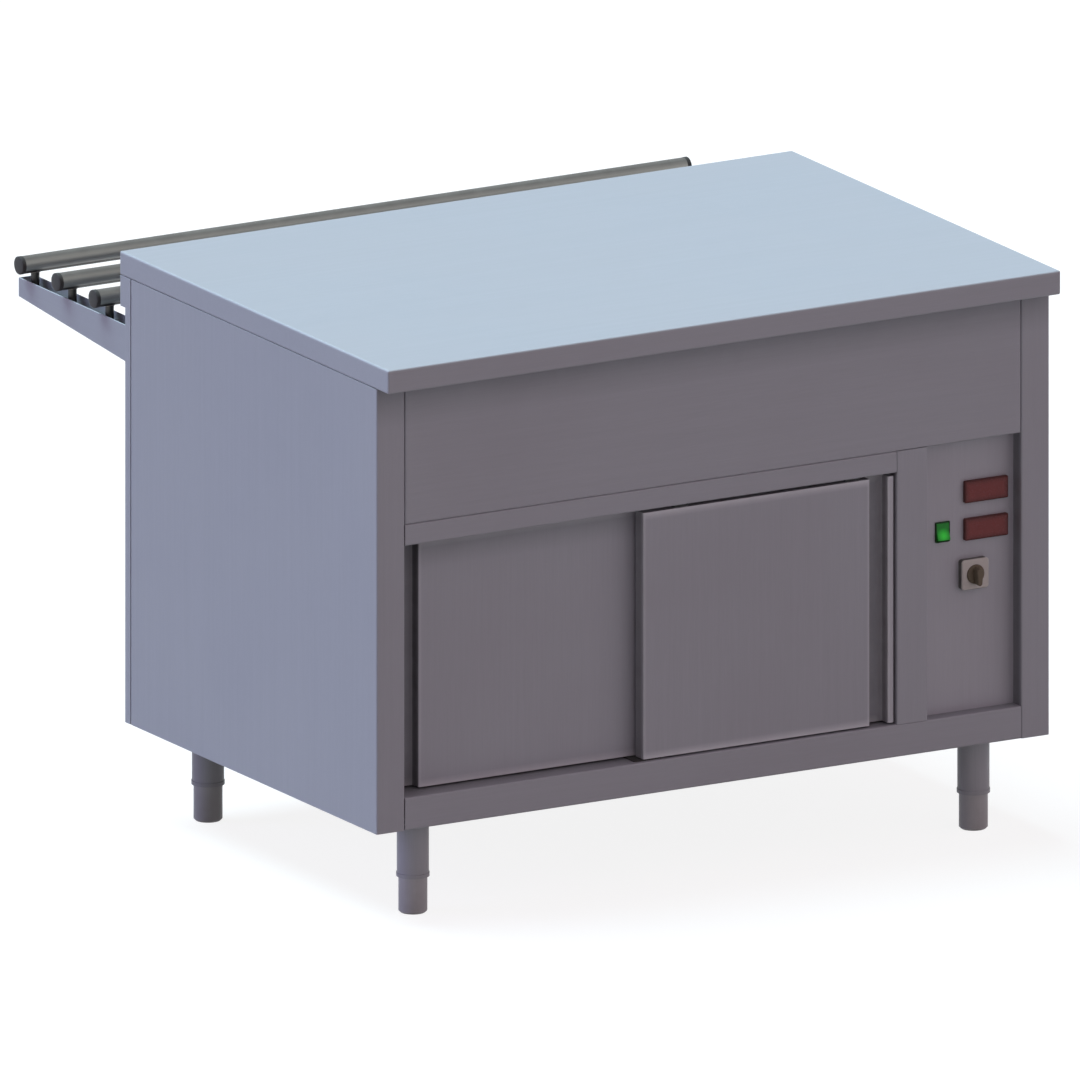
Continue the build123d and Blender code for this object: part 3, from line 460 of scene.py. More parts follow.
rockerFinish = {"dark": (0.015, 0.24, 0.03), "light": (0.03, 0.34, 0.05), "unlit": (0.0, 0.02, 0.0),
                "lit": (0.03, 0.5, 0.035), "glow": 0.72, "rough": 0.3, "shine": 0.2, "grain": 0.002,
                "lampHeight": 0.33, "lampReach": 0.0125}


# Box for painted shade that starts a little behind a node's front and reaches past its other sides
def behindFront(node, look):
    low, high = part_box(node)
    past = look["past"]
    return ((low.x - past, low.y + look["start"], low.z - past),
            (high.x + past, high.y + past, high.z + past), look["fade"], look["share"])


# Painted shade in the hollow of the front: the openings for the doors and the controls, from the sill to the
# fascia; the sill's own box is larger and darker
recessLook = {"start": 0.0015, "depth": 0.075, "past": 0.01, "drop": 0.02, "fade": (0.008,) * 3, "share": 0.5}
sillLook = dict(recessLook, depth=0.12, past=0.06, drop=0.06, fade=(0.036,) * 3, share=0.62)


def findFrontRecess(look):
    railLow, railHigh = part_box("bottom_rail")
    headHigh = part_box("head_rail")[1]
    low = (railLow.x - look["past"], railLow.y + look["start"], railHigh.z - look["drop"])
    high = (railHigh.x + look["past"], railLow.y + look["depth"], headHigh.z + look["past"])
    return low, high, look["fade"], look["share"]


# Painted shade in a band under the worktop's overhang, on the fascia and the stiles but not on the counter's
# sides
lipLook = {"side": 0.0004, "depth": 0.02, "before": 0.005, "fade": (0.0003, 0.001, 0.064), "share": 0.36}


def findLipBand(look):
    topLow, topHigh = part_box("worktop")
    front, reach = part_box("front_fascia")[0].y, look["fade"][2]
    low = (topLow.x + look["side"], front - look["before"], topLow.z - reach)
    high = (topHigh.x - look["side"], front + look["depth"], topLow.z + reach)
    return low, high, look["fade"], look["share"]


# Painted shade inside the two tray brackets, between their walls and above the web
bracketLook = {"wall": 0.0018, "half": 0.015, "past": 0.05, "fade": (0.0003, 0.004, 0.001), "share": 0.4}


def findBracketHollow(bracket, look):
    low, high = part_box(bracket)
    middle, half = (low.x + high.x) / 2, look["half"] - look["wall"]
    return ((middle - half, low.y, low.z - look["past"]), (middle + half, high.y, high.z + look["past"]),
            look["fade"], look["share"])


# Tray tubes: painted shade along the top and underneath, so that the flanks stand brightest as a painted
# reflection
tubeLook = {"scuffRise": 0.0035, "scuffFade": 0.0077, "scuffShare": 0.72,
            "dustDrop": 0.0065, "dustFade": 0.002, "dustShare": 0.97, "past": 0.05}


def findTubeBands(look):
    low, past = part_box("inner_tray_tube")[0], look["past"]
    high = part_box("outer_tray_tube")[1]
    axis = (low.z + high.z) / 2
    left, right = (low.x - past, low.y - past), (high.x + past, high.y + past)
    darkTop = ((*left, axis + look["scuffRise"]), (*right, high.z + past), (past, past, look["scuffFade"]))
    darkBottom = ((*left, low.z - past), (*right, axis - look["dustDrop"]), (past, past, look["dustFade"]))
    return [(*darkTop, look["scuffShare"]), (*darkBottom, look["dustShare"])]


# Rear legs and feet: painted shade, darker towards the back under the counter
rearLook = {"low": (-0.7, 0.0, -0.1), "high": (0.7, 0.4, 0.3), "fade": (0.05,) * 3, "share": 0.33}
rearShade = [tuple(rearLook.values())]

# Painted shade in the front's hollow and under the worktop's overhang
frontShade = [findFrontRecess(recessLook), findLipBand(lipLook)]
brackets = ("left_tray_bracket", "right_tray_bracket")
materials = {
    "satin_steel": makeSheetSteel("satinSteelLong", satinFinish, alongX, frontShade),
    "inner_steel": makeSheetSteel("plainSteelInside", innerFinish, alongX),
    "galvanised_steel": makeGalvanised(galvanisedFinish),
    "zinc_hardware": makeZinc("zincPlating", zincFinish),
    "track_aluminium": makeTrackAluminium(aluminiumFinish),
    "tube_steel": makeSheetSteel("polishedTube", tubeFinish, alongX, findTubeBands(tubeLook)),
    "black_plastic": makePlastic("blackMoulding", blackFinish),
    "grey_plastic": makePlastic("greyMoulding", greyFinish),
    "nylon": makePlastic("naturalNylon", nylonFinish),
    "red_lens": makeRedLens(lensFinish),
    "green_rocker": makeGreenRocker(rockerFinish)}

# Feet, with painted shade on the rear ones
footSteel = makeSheetSteel("footSteel", footFinish, alongZ, rearShade)
darkMoulding = makePlastic("darkMoulding", darkFinish)
weldMetal = makeZinc("weldMetal", weldFinish)

# Pieces whose finish isn't their slot's: upright grain on tall pieces, from front to back on the brackets
ownFinish = {
    # Legs, with painted shade on the rear ones
    "leg_tubes": makeSheetSteel("legSteel", legFinish, alongZ, rearShade),
    "tray_posts": makeSheetSteel("postSteel", shadedPostFinish, alongZ),
    # Sill: painted shade in front of the doors and the controls
    "bottom_rail": makeSheetSteel("satinSteelSill", satinFinish, alongX, [findFrontRecess(sillLook)]),
    "door_guide": darkMoulding,
    "cam_switch_knob": makePlastic("knobMoulding", knobFinish),
    "rocker_housing": makePlastic("greenHousing", housingFinish),
    **dict.fromkeys(("upper_controller", "lower_controller"), makePlastic("maroonMoulding", maroonFinish)),
    **dict.fromkeys(("left_side_panel", "right_side_panel", "mullion"),
                    makeSheetSteel("satinSteelUpright", satinFinish, alongZ, frontShade)),
    **dict.fromkeys(("control_panel", "left_door_back", "right_door_back"),
                    makeSheetSteel("satinSteelPanel", litPanelFinish, alongZ)),
    # Brackets: grain from front to back, painted shade inside their channels
    **dict.fromkeys(brackets, makeSheetSteel("satinSteelDeep", satinFinish, alongY, [
        findBracketHollow(bracket, bracketLook) for bracket in brackets]))}

# Doors: painted highlights along the edges of the face and the grip lip, painted shade inside the grip
# channel and behind the face. The left door runs in the rear lane and has a painted shadow along its top too,
# under the head rail
doorLook = {"lip": 0.011, "channel": 0.032, "start": 0.001, "past": 0.01, "fade": (0.008,) * 3, "share": 0.5,
            "faceEdge": 0.006, "faceShare": 0.6, "lipEdge": 0.012, "lipShare": 0.95,
            "wallHalf": 0.0012, "wallFade": (0.0004, 0.002, 0.01), "wallShare": 0.65,
            "topBand": 0.045, "topFade": (0.001, 0.001, 0.045), "topShare": 0.3}


# The grip is at the door's outer side: the left door's left, the right door's right
def makeDoorSteel(side, look):
    skin = side + "_door_skin"
    low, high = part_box(skin)
    inner, outer = look["lip"], look["lip"] + look["channel"]
    if side == "right":
        face, lip = (low.x, high.x - outer), (high.x - inner, high.x)
        wall = face[1]
    else:
        face, lip = (low.x + outer, high.x), (low.x, low.x + inner)
        wall = face[0]
    # Painted highlights along the edges of the face and of the grip lip
    edges = [((first, low.y, low.z), (last, high.y, high.z), look[part + "Edge"], look[part + "Share"],
              "Upright") for part, (first, last) in (("face", face), ("lip", lip))]
    # Painted shade behind the face and on the grip channel's wall; for the left door a painted shadow under
    # the head rail
    half, past = look["wallHalf"], look["past"]
    recesses = [behindFront(skin, look),
                ((wall - half, low.y + look["start"], low.z - past), (wall + half, high.y, high.z + past),
                 look["wallFade"], look["wallShare"])]
    if side == "left":
        reach = Vector((look["topBand"],) * 3)
        topFront = Vector((low.x, low.y, high.z))
        recesses.append((topFront - reach, high + reach, look["topFade"], look["topShare"]))
    return makeSheetSteel(side + "DoorSteel", satinFinish, alongZ, recesses, edges)


for side in ("left", "right"):
    ownFinish[side + "_door_skin"] = makeDoorSteel(side, doorLook)

# Cam switch plate: pale in front, with painted shade where its sides meet the panel
plateLook = {"start": 0.0015, "past": 0.005, "fade": (0.0015,) * 3, "share": 0.9}
plateSides = behindFront("cam_switch_plate", plateLook)
ownFinish["cam_switch_plate"] = makePlastic("switchPlate", greyFinish, [plateSides])

# Worktop: a painted highlight along its folded edges
topLook = {"edge": 0.006, "share": 0.2}
ownFinish["worktop"] = makeSheetSteel("satinSteelTop", satinFinish, alongX, highlightEdges=[
    (*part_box("worktop"), topLook["edge"], topLook["share"], "Lying")])
for subpart in frame["record"]["subparts"]:
    piece = frame["nodes"][subpart["node"]]
    piece.data.materials.clear()
    piece.data.materials.append(ownFinish.get(subpart["node"], materials[subpart["material_slot"]]))


def shapeNode(tree, kind, inputs, **settings):
    return addNode(tree, "GeometryNode" + kind, inputs, **settings).outputs[0]


def liftPart(tree, part, level):
    lift = addNode(tree, "ShaderNodeCombineXYZ", {"Z": level}).outputs[0]
    return shapeNode(tree, "Transform", {"Geometry": part, "Translation": lift})


# Slice of a turned or six-sided head, standing on a level
def addSlice(tree, sides, lowRadius, highRadius, level, height, fill="NGON"):
    sizes = {"Vertices": sides, "Radius Bottom": lowRadius, "Radius Top": highRadius, "Depth": height}
    return liftPart(tree, shapeNode(tree, "MeshCone", sizes, fill_type=fill), level)


def joinParts(tree, *parts):
    join = tree.nodes.new("GeometryNodeJoinGeometry")
    for part in parts:
        tree.links.new(part, join.inputs[0])
    return join.outputs[0]


def readAttribute(tree, name, kind):
    return shapeNode(tree, "InputNamedAttribute", {"Name": name}, data_type=kind)


def closeTree(tree, given, put, made):
    real = shapeNode(tree, "RealizeInstances", {"Geometry": made})
    tree.links.new(shapeNode(tree, "SetMaterial", {"Geometry": real, "Material": given["Finish"]}), put[0])


# Sets a head on every point, along the point's axis and turned by a seeded angle
def setHeads(tree, given, put, head):
    axis = readAttribute(tree, "axis", "FLOAT_VECTOR")
    along = addNode(tree, "FunctionNodeAlignRotationToVector", {"Vector": axis}, axis="Z").outputs[0]
    spread = {2: 0.0, 3: math.tau, "Seed": given["Seed"]}
    angle = addNode(tree, "FunctionNodeRandomValue", spread).outputs[1]
    twist = addNode(tree, "FunctionNodeAxisAngleToRotation", {"Axis": alongZ, "Angle": angle}).outputs[0]
    turned = addNode(tree, "FunctionNodeRotateRotation", {"Rotation": along, "Rotate By": twist},
                     rotation_space="LOCAL").outputs[0]
    heads = shapeNode(tree, "InstanceOnPoints",
                      {"Points": given["Places"], "Instance": head, "Rotation": turned})
    closeTree(tree, given, put, heads)


# Hexagon screw with a washer and a turned crown; the shares are of the head's height and radius
hexShape = {"washerSides": 32, "crownSides": 24, "flatShare": 0.85, "crownShare": 0.15,
            "crownFoot": 0.86, "crownTop": 0.72}


def makeHexScrew(shape):
    sizes = {"Head Radius": 0.0075, "Head Height": 0.005, "Washer Radius": 0.0085, "Washer Height": 0.0015,
             "Seed": 1}
    tree, given, put = shapeTree("hexScrew", "Places", sizes, "Screws")
    radius, height = given["Head Radius"], given["Head Height"]
    disc, lift = given["Washer Radius"], given["Washer Height"]
    washer = addSlice(tree, shape["washerSides"], disc, disc, 0.0, lift)
    flats = addSlice(tree, 6, radius, radius, lift, times(tree, height, shape["flatShare"]))
    level = calc(tree, "MULTIPLY_ADD", height, shape["flatShare"], lift)
    crown = addSlice(tree, shape["crownSides"], times(tree, radius, shape["crownFoot"]),
                     times(tree, radius, shape["crownTop"]), level, times(tree, height, shape["crownShare"]))
    setHeads(tree, given, put, joinParts(tree, washer, flats, crown))
    return tree


# Slotted pan head: a rim, a shoulder and a crown, the last two cut by the slot. All values but the sides are
# shares, of the head's radius (foot, top, slotLength) or of its height
panShape = {"sides": 24, "rimShare": 0.45, "slotLength": 2.5, "slotLift": 1.1,
            "shoulder": {"foot": 1.0, "top": 0.84, "level": 0.45, "tall": 0.35},
            "crown": {"foot": 0.84, "top": 0.5, "level": 0.8, "tall": 0.2}}


def makePanScrew(shape):
    sizes = {"Head Radius": 0.003, "Head Height": 0.002, "Slot Width": 0.0008, "Seed": 1}
    tree, given, put = shapeTree("panScrew", "Places", sizes, "Screws")
    radius, height = given["Head Radius"], given["Head Height"]
    size = addNode(tree, "ShaderNodeCombineXYZ", {"X": times(tree, radius, shape["slotLength"]),
                                                  "Y": given["Slot Width"], "Z": height}).outputs[0]
    cube = shapeNode(tree, "MeshCube", {"Size": size})
    slot = liftPart(tree, cube, times(tree, height, shape["slotLift"]))
    parts = [addSlice(tree, shape["sides"], radius, radius, 0.0, times(tree, height, shape["rimShare"]))]
    for share in (shape["shoulder"], shape["crown"]):
        ends = [times(tree, radius, share[end]) for end in ("foot", "top")]
        level, tall = times(tree, height, share["level"]), times(tree, height, share["tall"])
        part = addSlice(tree, shape["sides"], *ends, level, tall)
        cut = {"Mesh 1": part, "Mesh 2": slot}
        parts.append(shapeNode(tree, "MeshBoolean", cut, operation="DIFFERENCE"))
    setHeads(tree, given, put, joinParts(tree, *parts))
    return tree


# Push-on cap for a tube end: a skirt, a rounded rim and a low dome in one shell
capShape = {"sides": 48, "rimSteps": (0.0, 0.4, 0.75, 1.0), "shoulder": 0.6, "shoulderRise": 0.64,
            "merge": 1e-6}


def makeTubeCap(shape):
    sizes = {"Cap Radius": 0.0144, "Skirt": 0.0055, "Rim": 0.001, "Dome": 0.0005, "Seed": 1}
    tree, given, put = shapeTree("tubeCap", "Places", sizes, "Caps")
    radius, skirt = given["Cap Radius"], given["Skirt"]
    rim, dome = given["Rim"], given["Dome"]
    sides, steps, rise = shape["sides"], shape["rimSteps"], shape["shoulderRise"]
    parts = [addSlice(tree, sides, radius, radius, 0.0, skirt, "NONE")]
    for low, high in zip(steps, steps[1:]):
        insets = [math.sqrt(1.0 - step ** 2) - 1.0 for step in (low, high)]
        ends = [calc(tree, "MULTIPLY_ADD", rim, inset, radius) for inset in insets]
        level = calc(tree, "MULTIPLY_ADD", rim, low, skirt)
        parts.append(addSlice(tree, sides, *ends, level, times(tree, rim, high - low), "NONE"))
    flat = calc(tree, "SUBTRACT", radius, rim)
    shoulder = times(tree, flat, shape["shoulder"])
    top = calc(tree, "ADD", skirt, rim)
    for ends, low, high in (((flat, shoulder), 0.0, rise), ((shoulder, 0.0), rise, 1.0)):
        level = calc(tree, "MULTIPLY_ADD", dome, low, top)
        parts.append(addSlice(tree, sides, *ends, level, times(tree, dome, high - low), "NONE"))
    disc = shapeNode(tree, "MeshCircle", {"Vertices": sides, "Radius": radius}, fill_type="NGON")
    parts.append(shapeNode(tree, "FlipFaces", {"Mesh": disc}))
    whole = {"Geometry": joinParts(tree, *parts), "Distance": shape["merge"]}
    setHeads(tree, given, put, shapeNode(tree, "MergeByDistance", whole))
    return tree


# Weld bead along every path of a mesh, as thick as the path's bead attribute says, with even ripples
beadShape = {"stepsPerRipple": 4.0, "sides": 10}


def makeWeldBead(shape):
    tree, given, put = shapeTree("weldBead", "Paths", {"Ripple Pitch": 0.0025, "Ripple Depth": 0.12}, "Beads")
    pitch = given["Ripple Pitch"]
    lines = shapeNode(tree, "MeshToCurve", {"Mesh": given["Paths"]})
    step = calc(tree, "DIVIDE", pitch, shape["stepsPerRipple"])
    fine = shapeNode(tree, "ResampleCurve", {"Curve": lines, "Length": step}, mode="LENGTH")
    along = tree.nodes.new("GeometryNodeSplineParameter").outputs["Length"]
    wave = calc(tree, "SINE", calc(tree, "DIVIDE", times(tree, along, math.tau), pitch))
    swell = calc(tree, "MULTIPLY_ADD", wave, given["Ripple Depth"], 1.0)
    bead = readAttribute(tree, "bead", "FLOAT")
    ring = shapeNode(tree, "CurvePrimitiveCircle", {"Resolution": shape["sides"], "Radius": 1.0})
    sweep = {"Curve": fine, "Profile Curve": ring, "Scale": times(tree, swell, bead), "Fill Caps": True}
    closeTree(tree, given, put, shapeNode(tree, "CurveToMesh", sweep))
    return tree


# Screw thread wound round the stem of a foot
threadShape = {"stepsPerTurn": 20, "sides": 6}


def makeFootThread(shape):
    sizes = {"Core Radius": 0.0053, "Ridge Radius": 0.00065, "Pitch": 0.00175, "Length": 0.06,
             "Start": (0, 0, 0)}
    tree, given, put = shapeTree("footThread", "Foot", sizes, "Threaded Foot")
    core, length = given["Core Radius"], given["Length"]
    turns = calc(tree, "DIVIDE", length, given["Pitch"])
    helix = shapeNode(tree, "CurveSpiral",
                      {"Resolution": shape["stepsPerTurn"], "Rotations": turns, "Start Radius": core,
                       "End Radius": core, "Height": length})
    profile = {"Resolution": shape["sides"], "Radius": given["Ridge Radius"]}
    ring = shapeNode(tree, "CurvePrimitiveCircle", profile)
    ridge = shapeNode(tree, "CurveToMesh", {"Curve": helix, "Profile Curve": ring, "Fill Caps": True})
    placed = shapeNode(tree, "Transform", {"Geometry": ridge, "Translation": given["Start"]})
    closeTree(tree, given, put, joinParts(tree, given["Foot"], placed))
    return tree


sharpAngle = math.radians(35)  # edges sharper than this stay sharp


# A tree's input as a key of the settings: Head Radius becomes headRadius
def keyOf(label):
    return label[0].lower() + label[1:].replace(" ", "")


# Runs a tree on a mesh and keeps the outcome as a plain piece that rides on a body
def growPiece(name, tree, mesh, sizes, body):
    holder = bpy.data.objects.new(name + "Start", mesh)
    scene.collection.objects.link(holder)
    grow = holder.modifiers.new("grow", "NODES")
    grow.node_group = tree
    for item in tree.interface.items_tree:
        if item.in_out == "INPUT" and keyOf(item.name) in sizes:
            grow[item.identifier] = sizes[keyOf(item.name)]
    graph = bpy.context.evaluated_depsgraph_get()
    grown = bpy.data.meshes.new_from_object(holder.evaluated_get(graph), depsgraph=graph)
    holder.modifiers.remove(grow)
    bpy.data.objects.remove(holder)
    grown.shade_smooth()
    grown.set_sharp_from_angle(angle=sharpAngle)
    piece = bpy.data.objects.new(name, grown)
    scene.collection.objects.link(piece)
    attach(piece, body)
    return piece


def placesMesh(name, places):
    mesh = bpy.data.meshes.new(name)
    mesh.from_pydata([place for place, axis in places], [], [])
    axes = mesh.attributes.new("axis", "FLOAT_VECTOR", "POINT")
    for item, (place, axis) in zip(axes.data, places):
        item.vector = axis
    return mesh


def middleOf(node):
    low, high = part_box(node)
    return (low + high) / 2


def ringOf(radius, steps):
    turns = [math.tau * step / steps for step in range(steps)]
    return [(radius * math.cos(turn), radius * math.sin(turn)) for turn in turns]


corners = ("front_left", "front_right", "rear_left", "rear_right")
tubes = ("inner_tray_tube", "middle_tray_tube", "outer_tray_tube")

# Hexagon screws: four under each leg plate, two through each bracket plate
hexLook = {"headRadius": 0.0075, "headHeight": 0.0053, "washerRadius": 0.0085, "washerHeight": 0.0016,
           "seed": 4, "plateLevel": 0.158, "plateSpread": 0.028, "bracketPlate": 0.004, "topDrop": 0.0085,
           "lowRise": 0.027}


def makeHexScrews(look):
    places, spread, level = [], (-look["plateSpread"], look["plateSpread"]), look["plateLevel"]
    for corner in corners:
        middle = middleOf(corner + "_foot")
        places += [((middle.x + x, middle.y + y, level), (0, 0, -1)) for x in spread for y in spread]
    for bracket in brackets:
        low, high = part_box(bracket)
        for z in (high.z - look["topDrop"], low.z + look["lowRise"]):
            places.append((((low.x + high.x) / 2, low.y + look["bracketPlate"], z), alongY))
    growPiece("frameScrews", makeHexScrew(hexShape), placesMesh("frameScrewPlaces", places),
              dict(look, finish=materials["zinc_hardware"]), "counter")
    print("hexagon screws:", len(places))


makeHexScrews(hexLook)

# Pan-head screws: two in the foot of each door hanger, two flat ones in the floor guide
panLook = {"headRadius": 0.003, "headHeight": 0.0022, "slotWidth": 0.0008, "seed": 9, "hangerHalf": 0.012,
           "footTop": 0.602, "spread": 0.007, "guideTop": 0.204, "guideSpread": 0.018, "guideHeight": 0.0006}


def makePanScrews(look):
    panScrew = makePanScrew(panShape)
    sizes = dict(look, finish=materials["zinc_hardware"])
    count = 0
    for side in ("left", "right"):
        door = side + "_door"
        low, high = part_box(door + "_hangers")
        lane = middleOf(door + "_left_roller").y
        places = [((x + step, lane, look["footTop"]), alongZ)
                  for x in (low.x + look["hangerHalf"], high.x - look["hangerHalf"])
                  for step in (-look["spread"], look["spread"])]
        name = side + "HangerScrews"
        growPiece(name, panScrew, placesMesh(name + "Places", places), sizes, door)
        count += len(places)
    middle = middleOf("door_guide")
    places = [((middle.x + step, middle.y, look["guideTop"]), alongZ)
              for step in (-look["guideSpread"], look["guideSpread"])]
    flat = dict(sizes, headHeight=look["guideHeight"])
    mesh = placesMesh("guideScrewPlaces", places)
    growPiece("guideScrews", panScrew, mesh, flat, "counter")
    print("pan-head screws:", count + len(places))


makePanScrews(panLook)

# Caps on the six ends of the tray tubes, in place of the plain plugs
capLook = {"capRadius": 0.0144, "skirt": 0.0055, "rim": 0.001, "dome": 0.0005, "reach": 0.5975}


def makeTubeCaps(look):
    start = look["reach"] - look["skirt"] - look["rim"] - look["dome"]
    places = []
    for tube in tubes:
        middle = middleOf(tube)
        places += [((side * start, middle.y, middle.z), (side, 0, 0)) for side in (-1, 1)]
    caps = growPiece("tubeCaps", makeTubeCap(capShape), placesMesh("tubeCapPlaces", places),
                     dict(look, finish=darkMoulding), "counter")
    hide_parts("tube_plugs")
    print("tube caps:", len(places))


makeTubeCaps(capLook)

# Weld beads: leg tubes under their plates, tray posts on the brackets and under the tubes, bracket arms
weldLook = {"legRadius": 0.025, "legLevel": 0.158, "legBead": 0.0022, "postRadius": 0.00675,
            "postBead": 0.001, "armHalf": 0.015, "armTop": 0.0165, "armLow": 0.0075, "armBead": 0.0015,
            "bracketPlate": 0.004, "ripplePitch": 0.0024, "rippleDepth": 0.12, "ringSteps": 48}


def makeWelds(look):
    points, edges, beads = [], [], []

    def addPath(path, closed, bead):
        first = len(points)
        points.extend(path)
        beads.extend([bead] * len(path))
        edges.extend((first + step, first + step + 1) for step in range(len(path) - 1))
        if closed:
            edges.append((first + len(path) - 1, first))

    around = ringOf(look["legRadius"], look["ringSteps"])
    for corner in corners:
        middle = middleOf(corner + "_foot")
        ring = [(middle.x + dx, middle.y + dy, look["legLevel"]) for dx, dy in around]
        addPath(ring, True, look["legBead"])
    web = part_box("tray_posts")[0].z
    around = ringOf(look["postRadius"], look["ringSteps"])
    for bracket in brackets:
        low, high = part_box(bracket)
        x = (low.x + high.x) / 2
        for tube in tubes:
            axis = middleOf(tube)
            size = (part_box(tube)[1].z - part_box(tube)[0].z) / 2
            addPath([(x + dx, axis.y + dy, web) for dx, dy in around], True, look["postBead"])
            saddle = [(x + dx, axis.y + dy, axis.z - math.sqrt(size ** 2 - dy ** 2)) for dx, dy in around]
            addPath(saddle, True, look["postBead"])
        face = low.y + look["bracketPlate"]
        for side in (-look["armHalf"], look["armHalf"]):
            line = [(x + side, face, low.z + look["armLow"]), (x + side, face, high.z - look["armTop"])]
            addPath(line, False, look["armBead"])
    mesh = bpy.data.meshes.new("weldPaths")
    mesh.from_pydata(points, edges, [])
    mesh.attributes.new("bead", "FLOAT", "POINT").data.foreach_set("value", beads)
    sizes = dict(look, finish=weldMetal)
    growPiece("weldBeads", makeWeldBead(beadShape), mesh, sizes, "counter")
    print("weld beads along", len(points), "path points")


makeWelds(weldLook)

# Feet: turned pad with bevelled edges on a threaded stem
footLook = {"padHeight": 0.0697, "lowBevel": 0.003, "topBevel": 0.0008, "coreRadius": 0.0053,
            "ridgeRadius": 0.00065, "pitch": 0.00175, "tipBevel": 0.0008, "segments": 64}


def turnedMesh(name, profile, segments, middle):
    points, faces = [], []
    for radius, level in profile:
        points += [(middle.x + dx, middle.y + dy, level) for dx, dy in ringOf(radius, segments)]
    for ring in range(len(profile) - 1):
        for step in range(segments):
            low, after = ring * segments + step, ring * segments + (step + 1) % segments
            faces.append((low, after, after + segments, low + segments))
    faces.append(tuple(reversed(range(segments))))
    faces.append(tuple(range(len(points) - segments, len(points))))
    mesh = bpy.data.meshes.new(name)
    mesh.from_pydata(points, [], faces)
    return mesh


def makeFeet(look):
    thread = makeFootThread(threadShape)
    top, core, clear = look["padHeight"], look["coreRadius"], 2 * look["ridgeRadius"]
    for corner in corners:
        node = corner + "_foot"
        low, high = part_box(node)
        middle, radius = (low + high) / 2, (high.x - low.x) / 2
        profile = [(radius - look["lowBevel"], low.z), (radius, low.z + look["lowBevel"]),
                   (radius, top - look["topBevel"]), (radius - look["topBevel"], top), (core, top),
                   (core, high.z - look["tipBevel"]), (core - look["tipBevel"], high.z)]
        sizes = dict(look, length=high.z - top - 2 * clear, start=(middle.x, middle.y, top + clear),
                     finish=footSteel)
        end, side = corner.split("_")
        name = end + side.capitalize() + "Foot"
        pad = turnedMesh(name + "Pad", profile, look["segments"], middle)
        foot = growPiece(name, thread, pad, sizes, node)
        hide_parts(node)
    print("threaded feet:", len(corners))


makeFeet(footLook)


# One shader for what the camera sees, directly, mirrored or through glass, and another for all other light
def mixBySight(tree, other, seen, output):
    path = tree.nodes.new("ShaderNodeLightPath").outputs
    direct = calc(tree, "MAXIMUM", path["Is Camera Ray"], path["Is Glossy Ray"])
    direct = calc(tree, "MAXIMUM", direct, path["Is Transmission Ray"])
    mix = addNode(tree, "ShaderNodeMixShader", {0: direct, 1: other.outputs[0], 2: seen.outputs[0]})
    tree.links.new(mix.outputs[0], tree.nodes[output].inputs["Surface"])


# Floor: white to the camera and in reflections, a dull warm surface for the light that it throws back
floorLook = {"size": 60.0, "colour": (0.17, 0.125, 0.115), "white": 0.86, "shadowShare": 0.25}


def makeFloor(look):
    half = look["size"] / 2
    mesh = bpy.data.meshes.new("floor")
    rim = [(-half, -half, 0), (half, -half, 0), (half, half, 0), (-half, half, 0)]
    mesh.from_pydata(rim, [], [(0, 1, 2, 3)])
    floor = bpy.data.objects.new("floor", mesh)
    scene.collection.objects.link(floor)
    material = bpy.data.materials.new("paleFloor")
    material.use_nodes = True
    tree = material.node_tree
    tree.nodes.remove(tree.nodes["Principled BSDF"])
    plain = addNode(tree, "ShaderNodeBsdfDiffuse", {"Color": (*look["colour"], 1)})
    shade = addNode(tree, "ShaderNodeBsdfDiffuse", {"Color": (look["shadowShare"],) * 3 + (1,)})
    glow = addNode(tree, "ShaderNodeEmission", {"Color": white, "Strength": look["white"]})
    seen = addNode(tree, "ShaderNodeAddShader", {0: shade.outputs[0], 1: glow.outputs[0]})
    mixBySight(tree, plain, seen, "Material Output")
    mesh.materials.append(material)


makeFloor(floorLook)

# World: white where it is seen directly or mirrored, elsewhere a fill that comes mostly from the front right
worldLook = {"fill": (0.58, 0.447, 0.495), "from": (0.6, -0.8, 0.0), "least": 0.15}


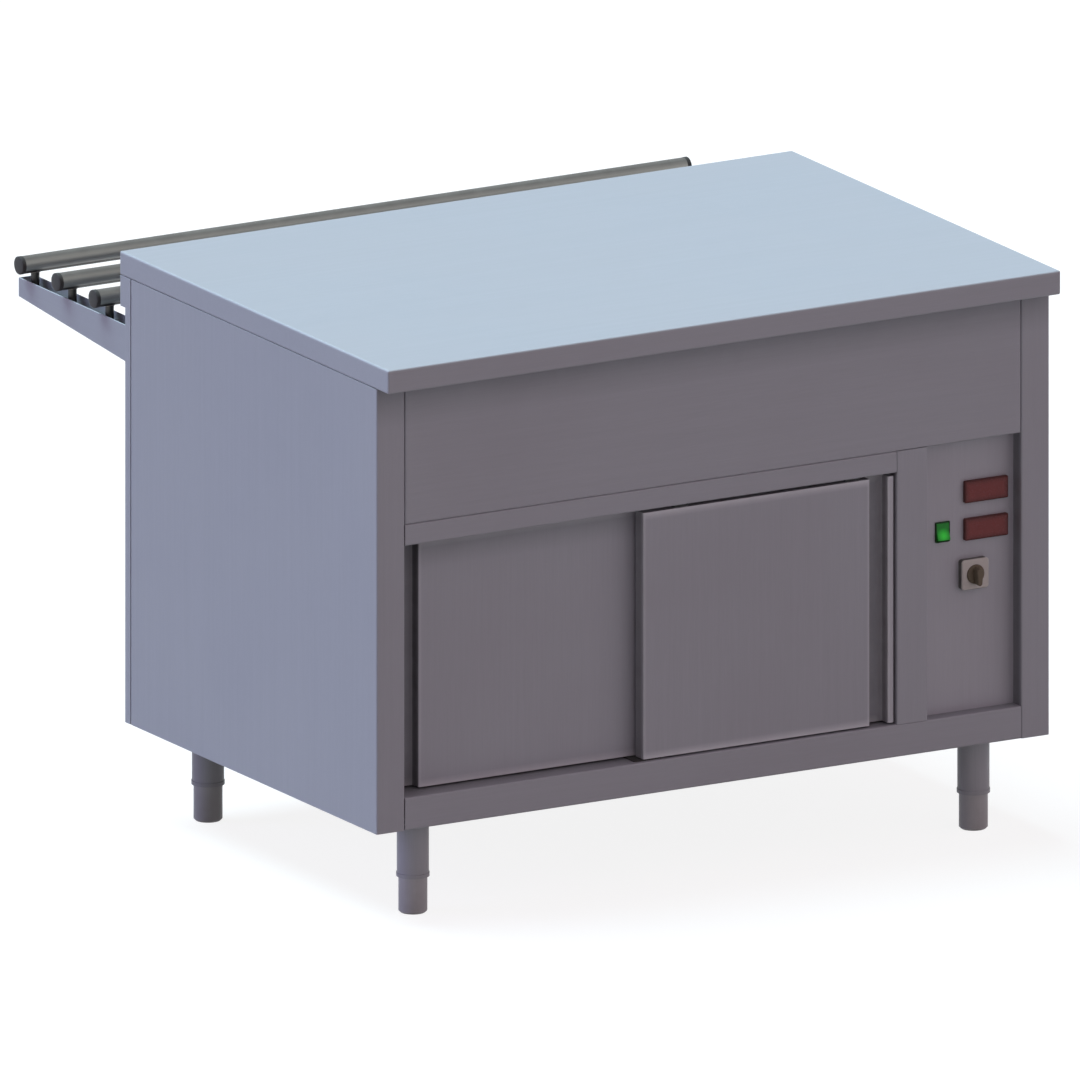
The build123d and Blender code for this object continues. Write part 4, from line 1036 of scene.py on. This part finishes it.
def makeWorld(look):
    world = bpy.data.worlds.new("studio")
    scene.world = world
    world.use_nodes = True
    tree = world.node_tree
    fill = tree.nodes["Background"]
    fill.inputs["Color"].default_value = (*look["fill"], 1)
    heading = tree.nodes.new("ShaderNodeTexCoord").outputs["Generated"]
    share = calc(tree, "MAXIMUM", vectorCalc(tree, "DOT_PRODUCT", heading, look["from"]), 0.0)
    tree.links.new(calc(tree, "ADD", share, look["least"]), fill.inputs["Strength"])
    seen = addNode(tree, "ShaderNodeBackground", {"Color": white, "Strength": 1.0})
    mixBySight(tree, fill, seen, "World Output")


makeWorld(worldLook)

# Lamps: each shines from a direction; strength is what a surface square to it gives back when it is white
lampLooks = {
    "topLamp": {"from": (-0.2, 0.34, 0.92), "strength": 1.07, "colour": (0.73, 1.0, 1.09), "spread": 40},
    "leftLamp": {"from": (-0.88, 0.41, 0.24), "strength": 0.17, "colour": (1.05, 0.97, 1.82), "spread": 40}}


def makeLamp(name, look):
    lamp = bpy.data.lights.new(name, "SUN")
    lamp.energy = look["strength"] * math.pi
    lamp.color = look["colour"]
    lamp.angle = math.radians(look["spread"])
    holder = bpy.data.objects.new(name, lamp)
    holder.rotation_euler = Vector(look["from"]).to_track_quat("Z", "Y").to_euler()
    scene.collection.objects.link(holder)


for name, look in lampLooks.items():
    makeLamp(name, look)

# Camera: a parallel view from the operator's left, tilted down
cameraLook = {"turn": -30.0, "tilt": 15.0, "aim": (-0.0725, -0.1419, 0.4561), "distance": 6.0,
              "viewWidth": 1.6687}


def makeCamera(look):
    camera = bpy.data.cameras.new("camera")
    camera.type = "ORTHO"
    camera.ortho_scale = look["viewWidth"]
    holder = bpy.data.objects.new("camera", camera)
    turn, tilt = math.radians(look["turn"]), math.radians(look["tilt"])
    away = Vector((math.sin(turn) * math.cos(tilt), -math.cos(turn) * math.cos(tilt), math.sin(tilt)))
    holder.location = Vector(look["aim"]) + away * look["distance"]
    holder.rotation_euler = (math.pi / 2 - tilt, 0, turn)
    scene.collection.objects.link(holder)
    scene.camera = holder


makeCamera(cameraLook)
print("floor, light and camera in place")
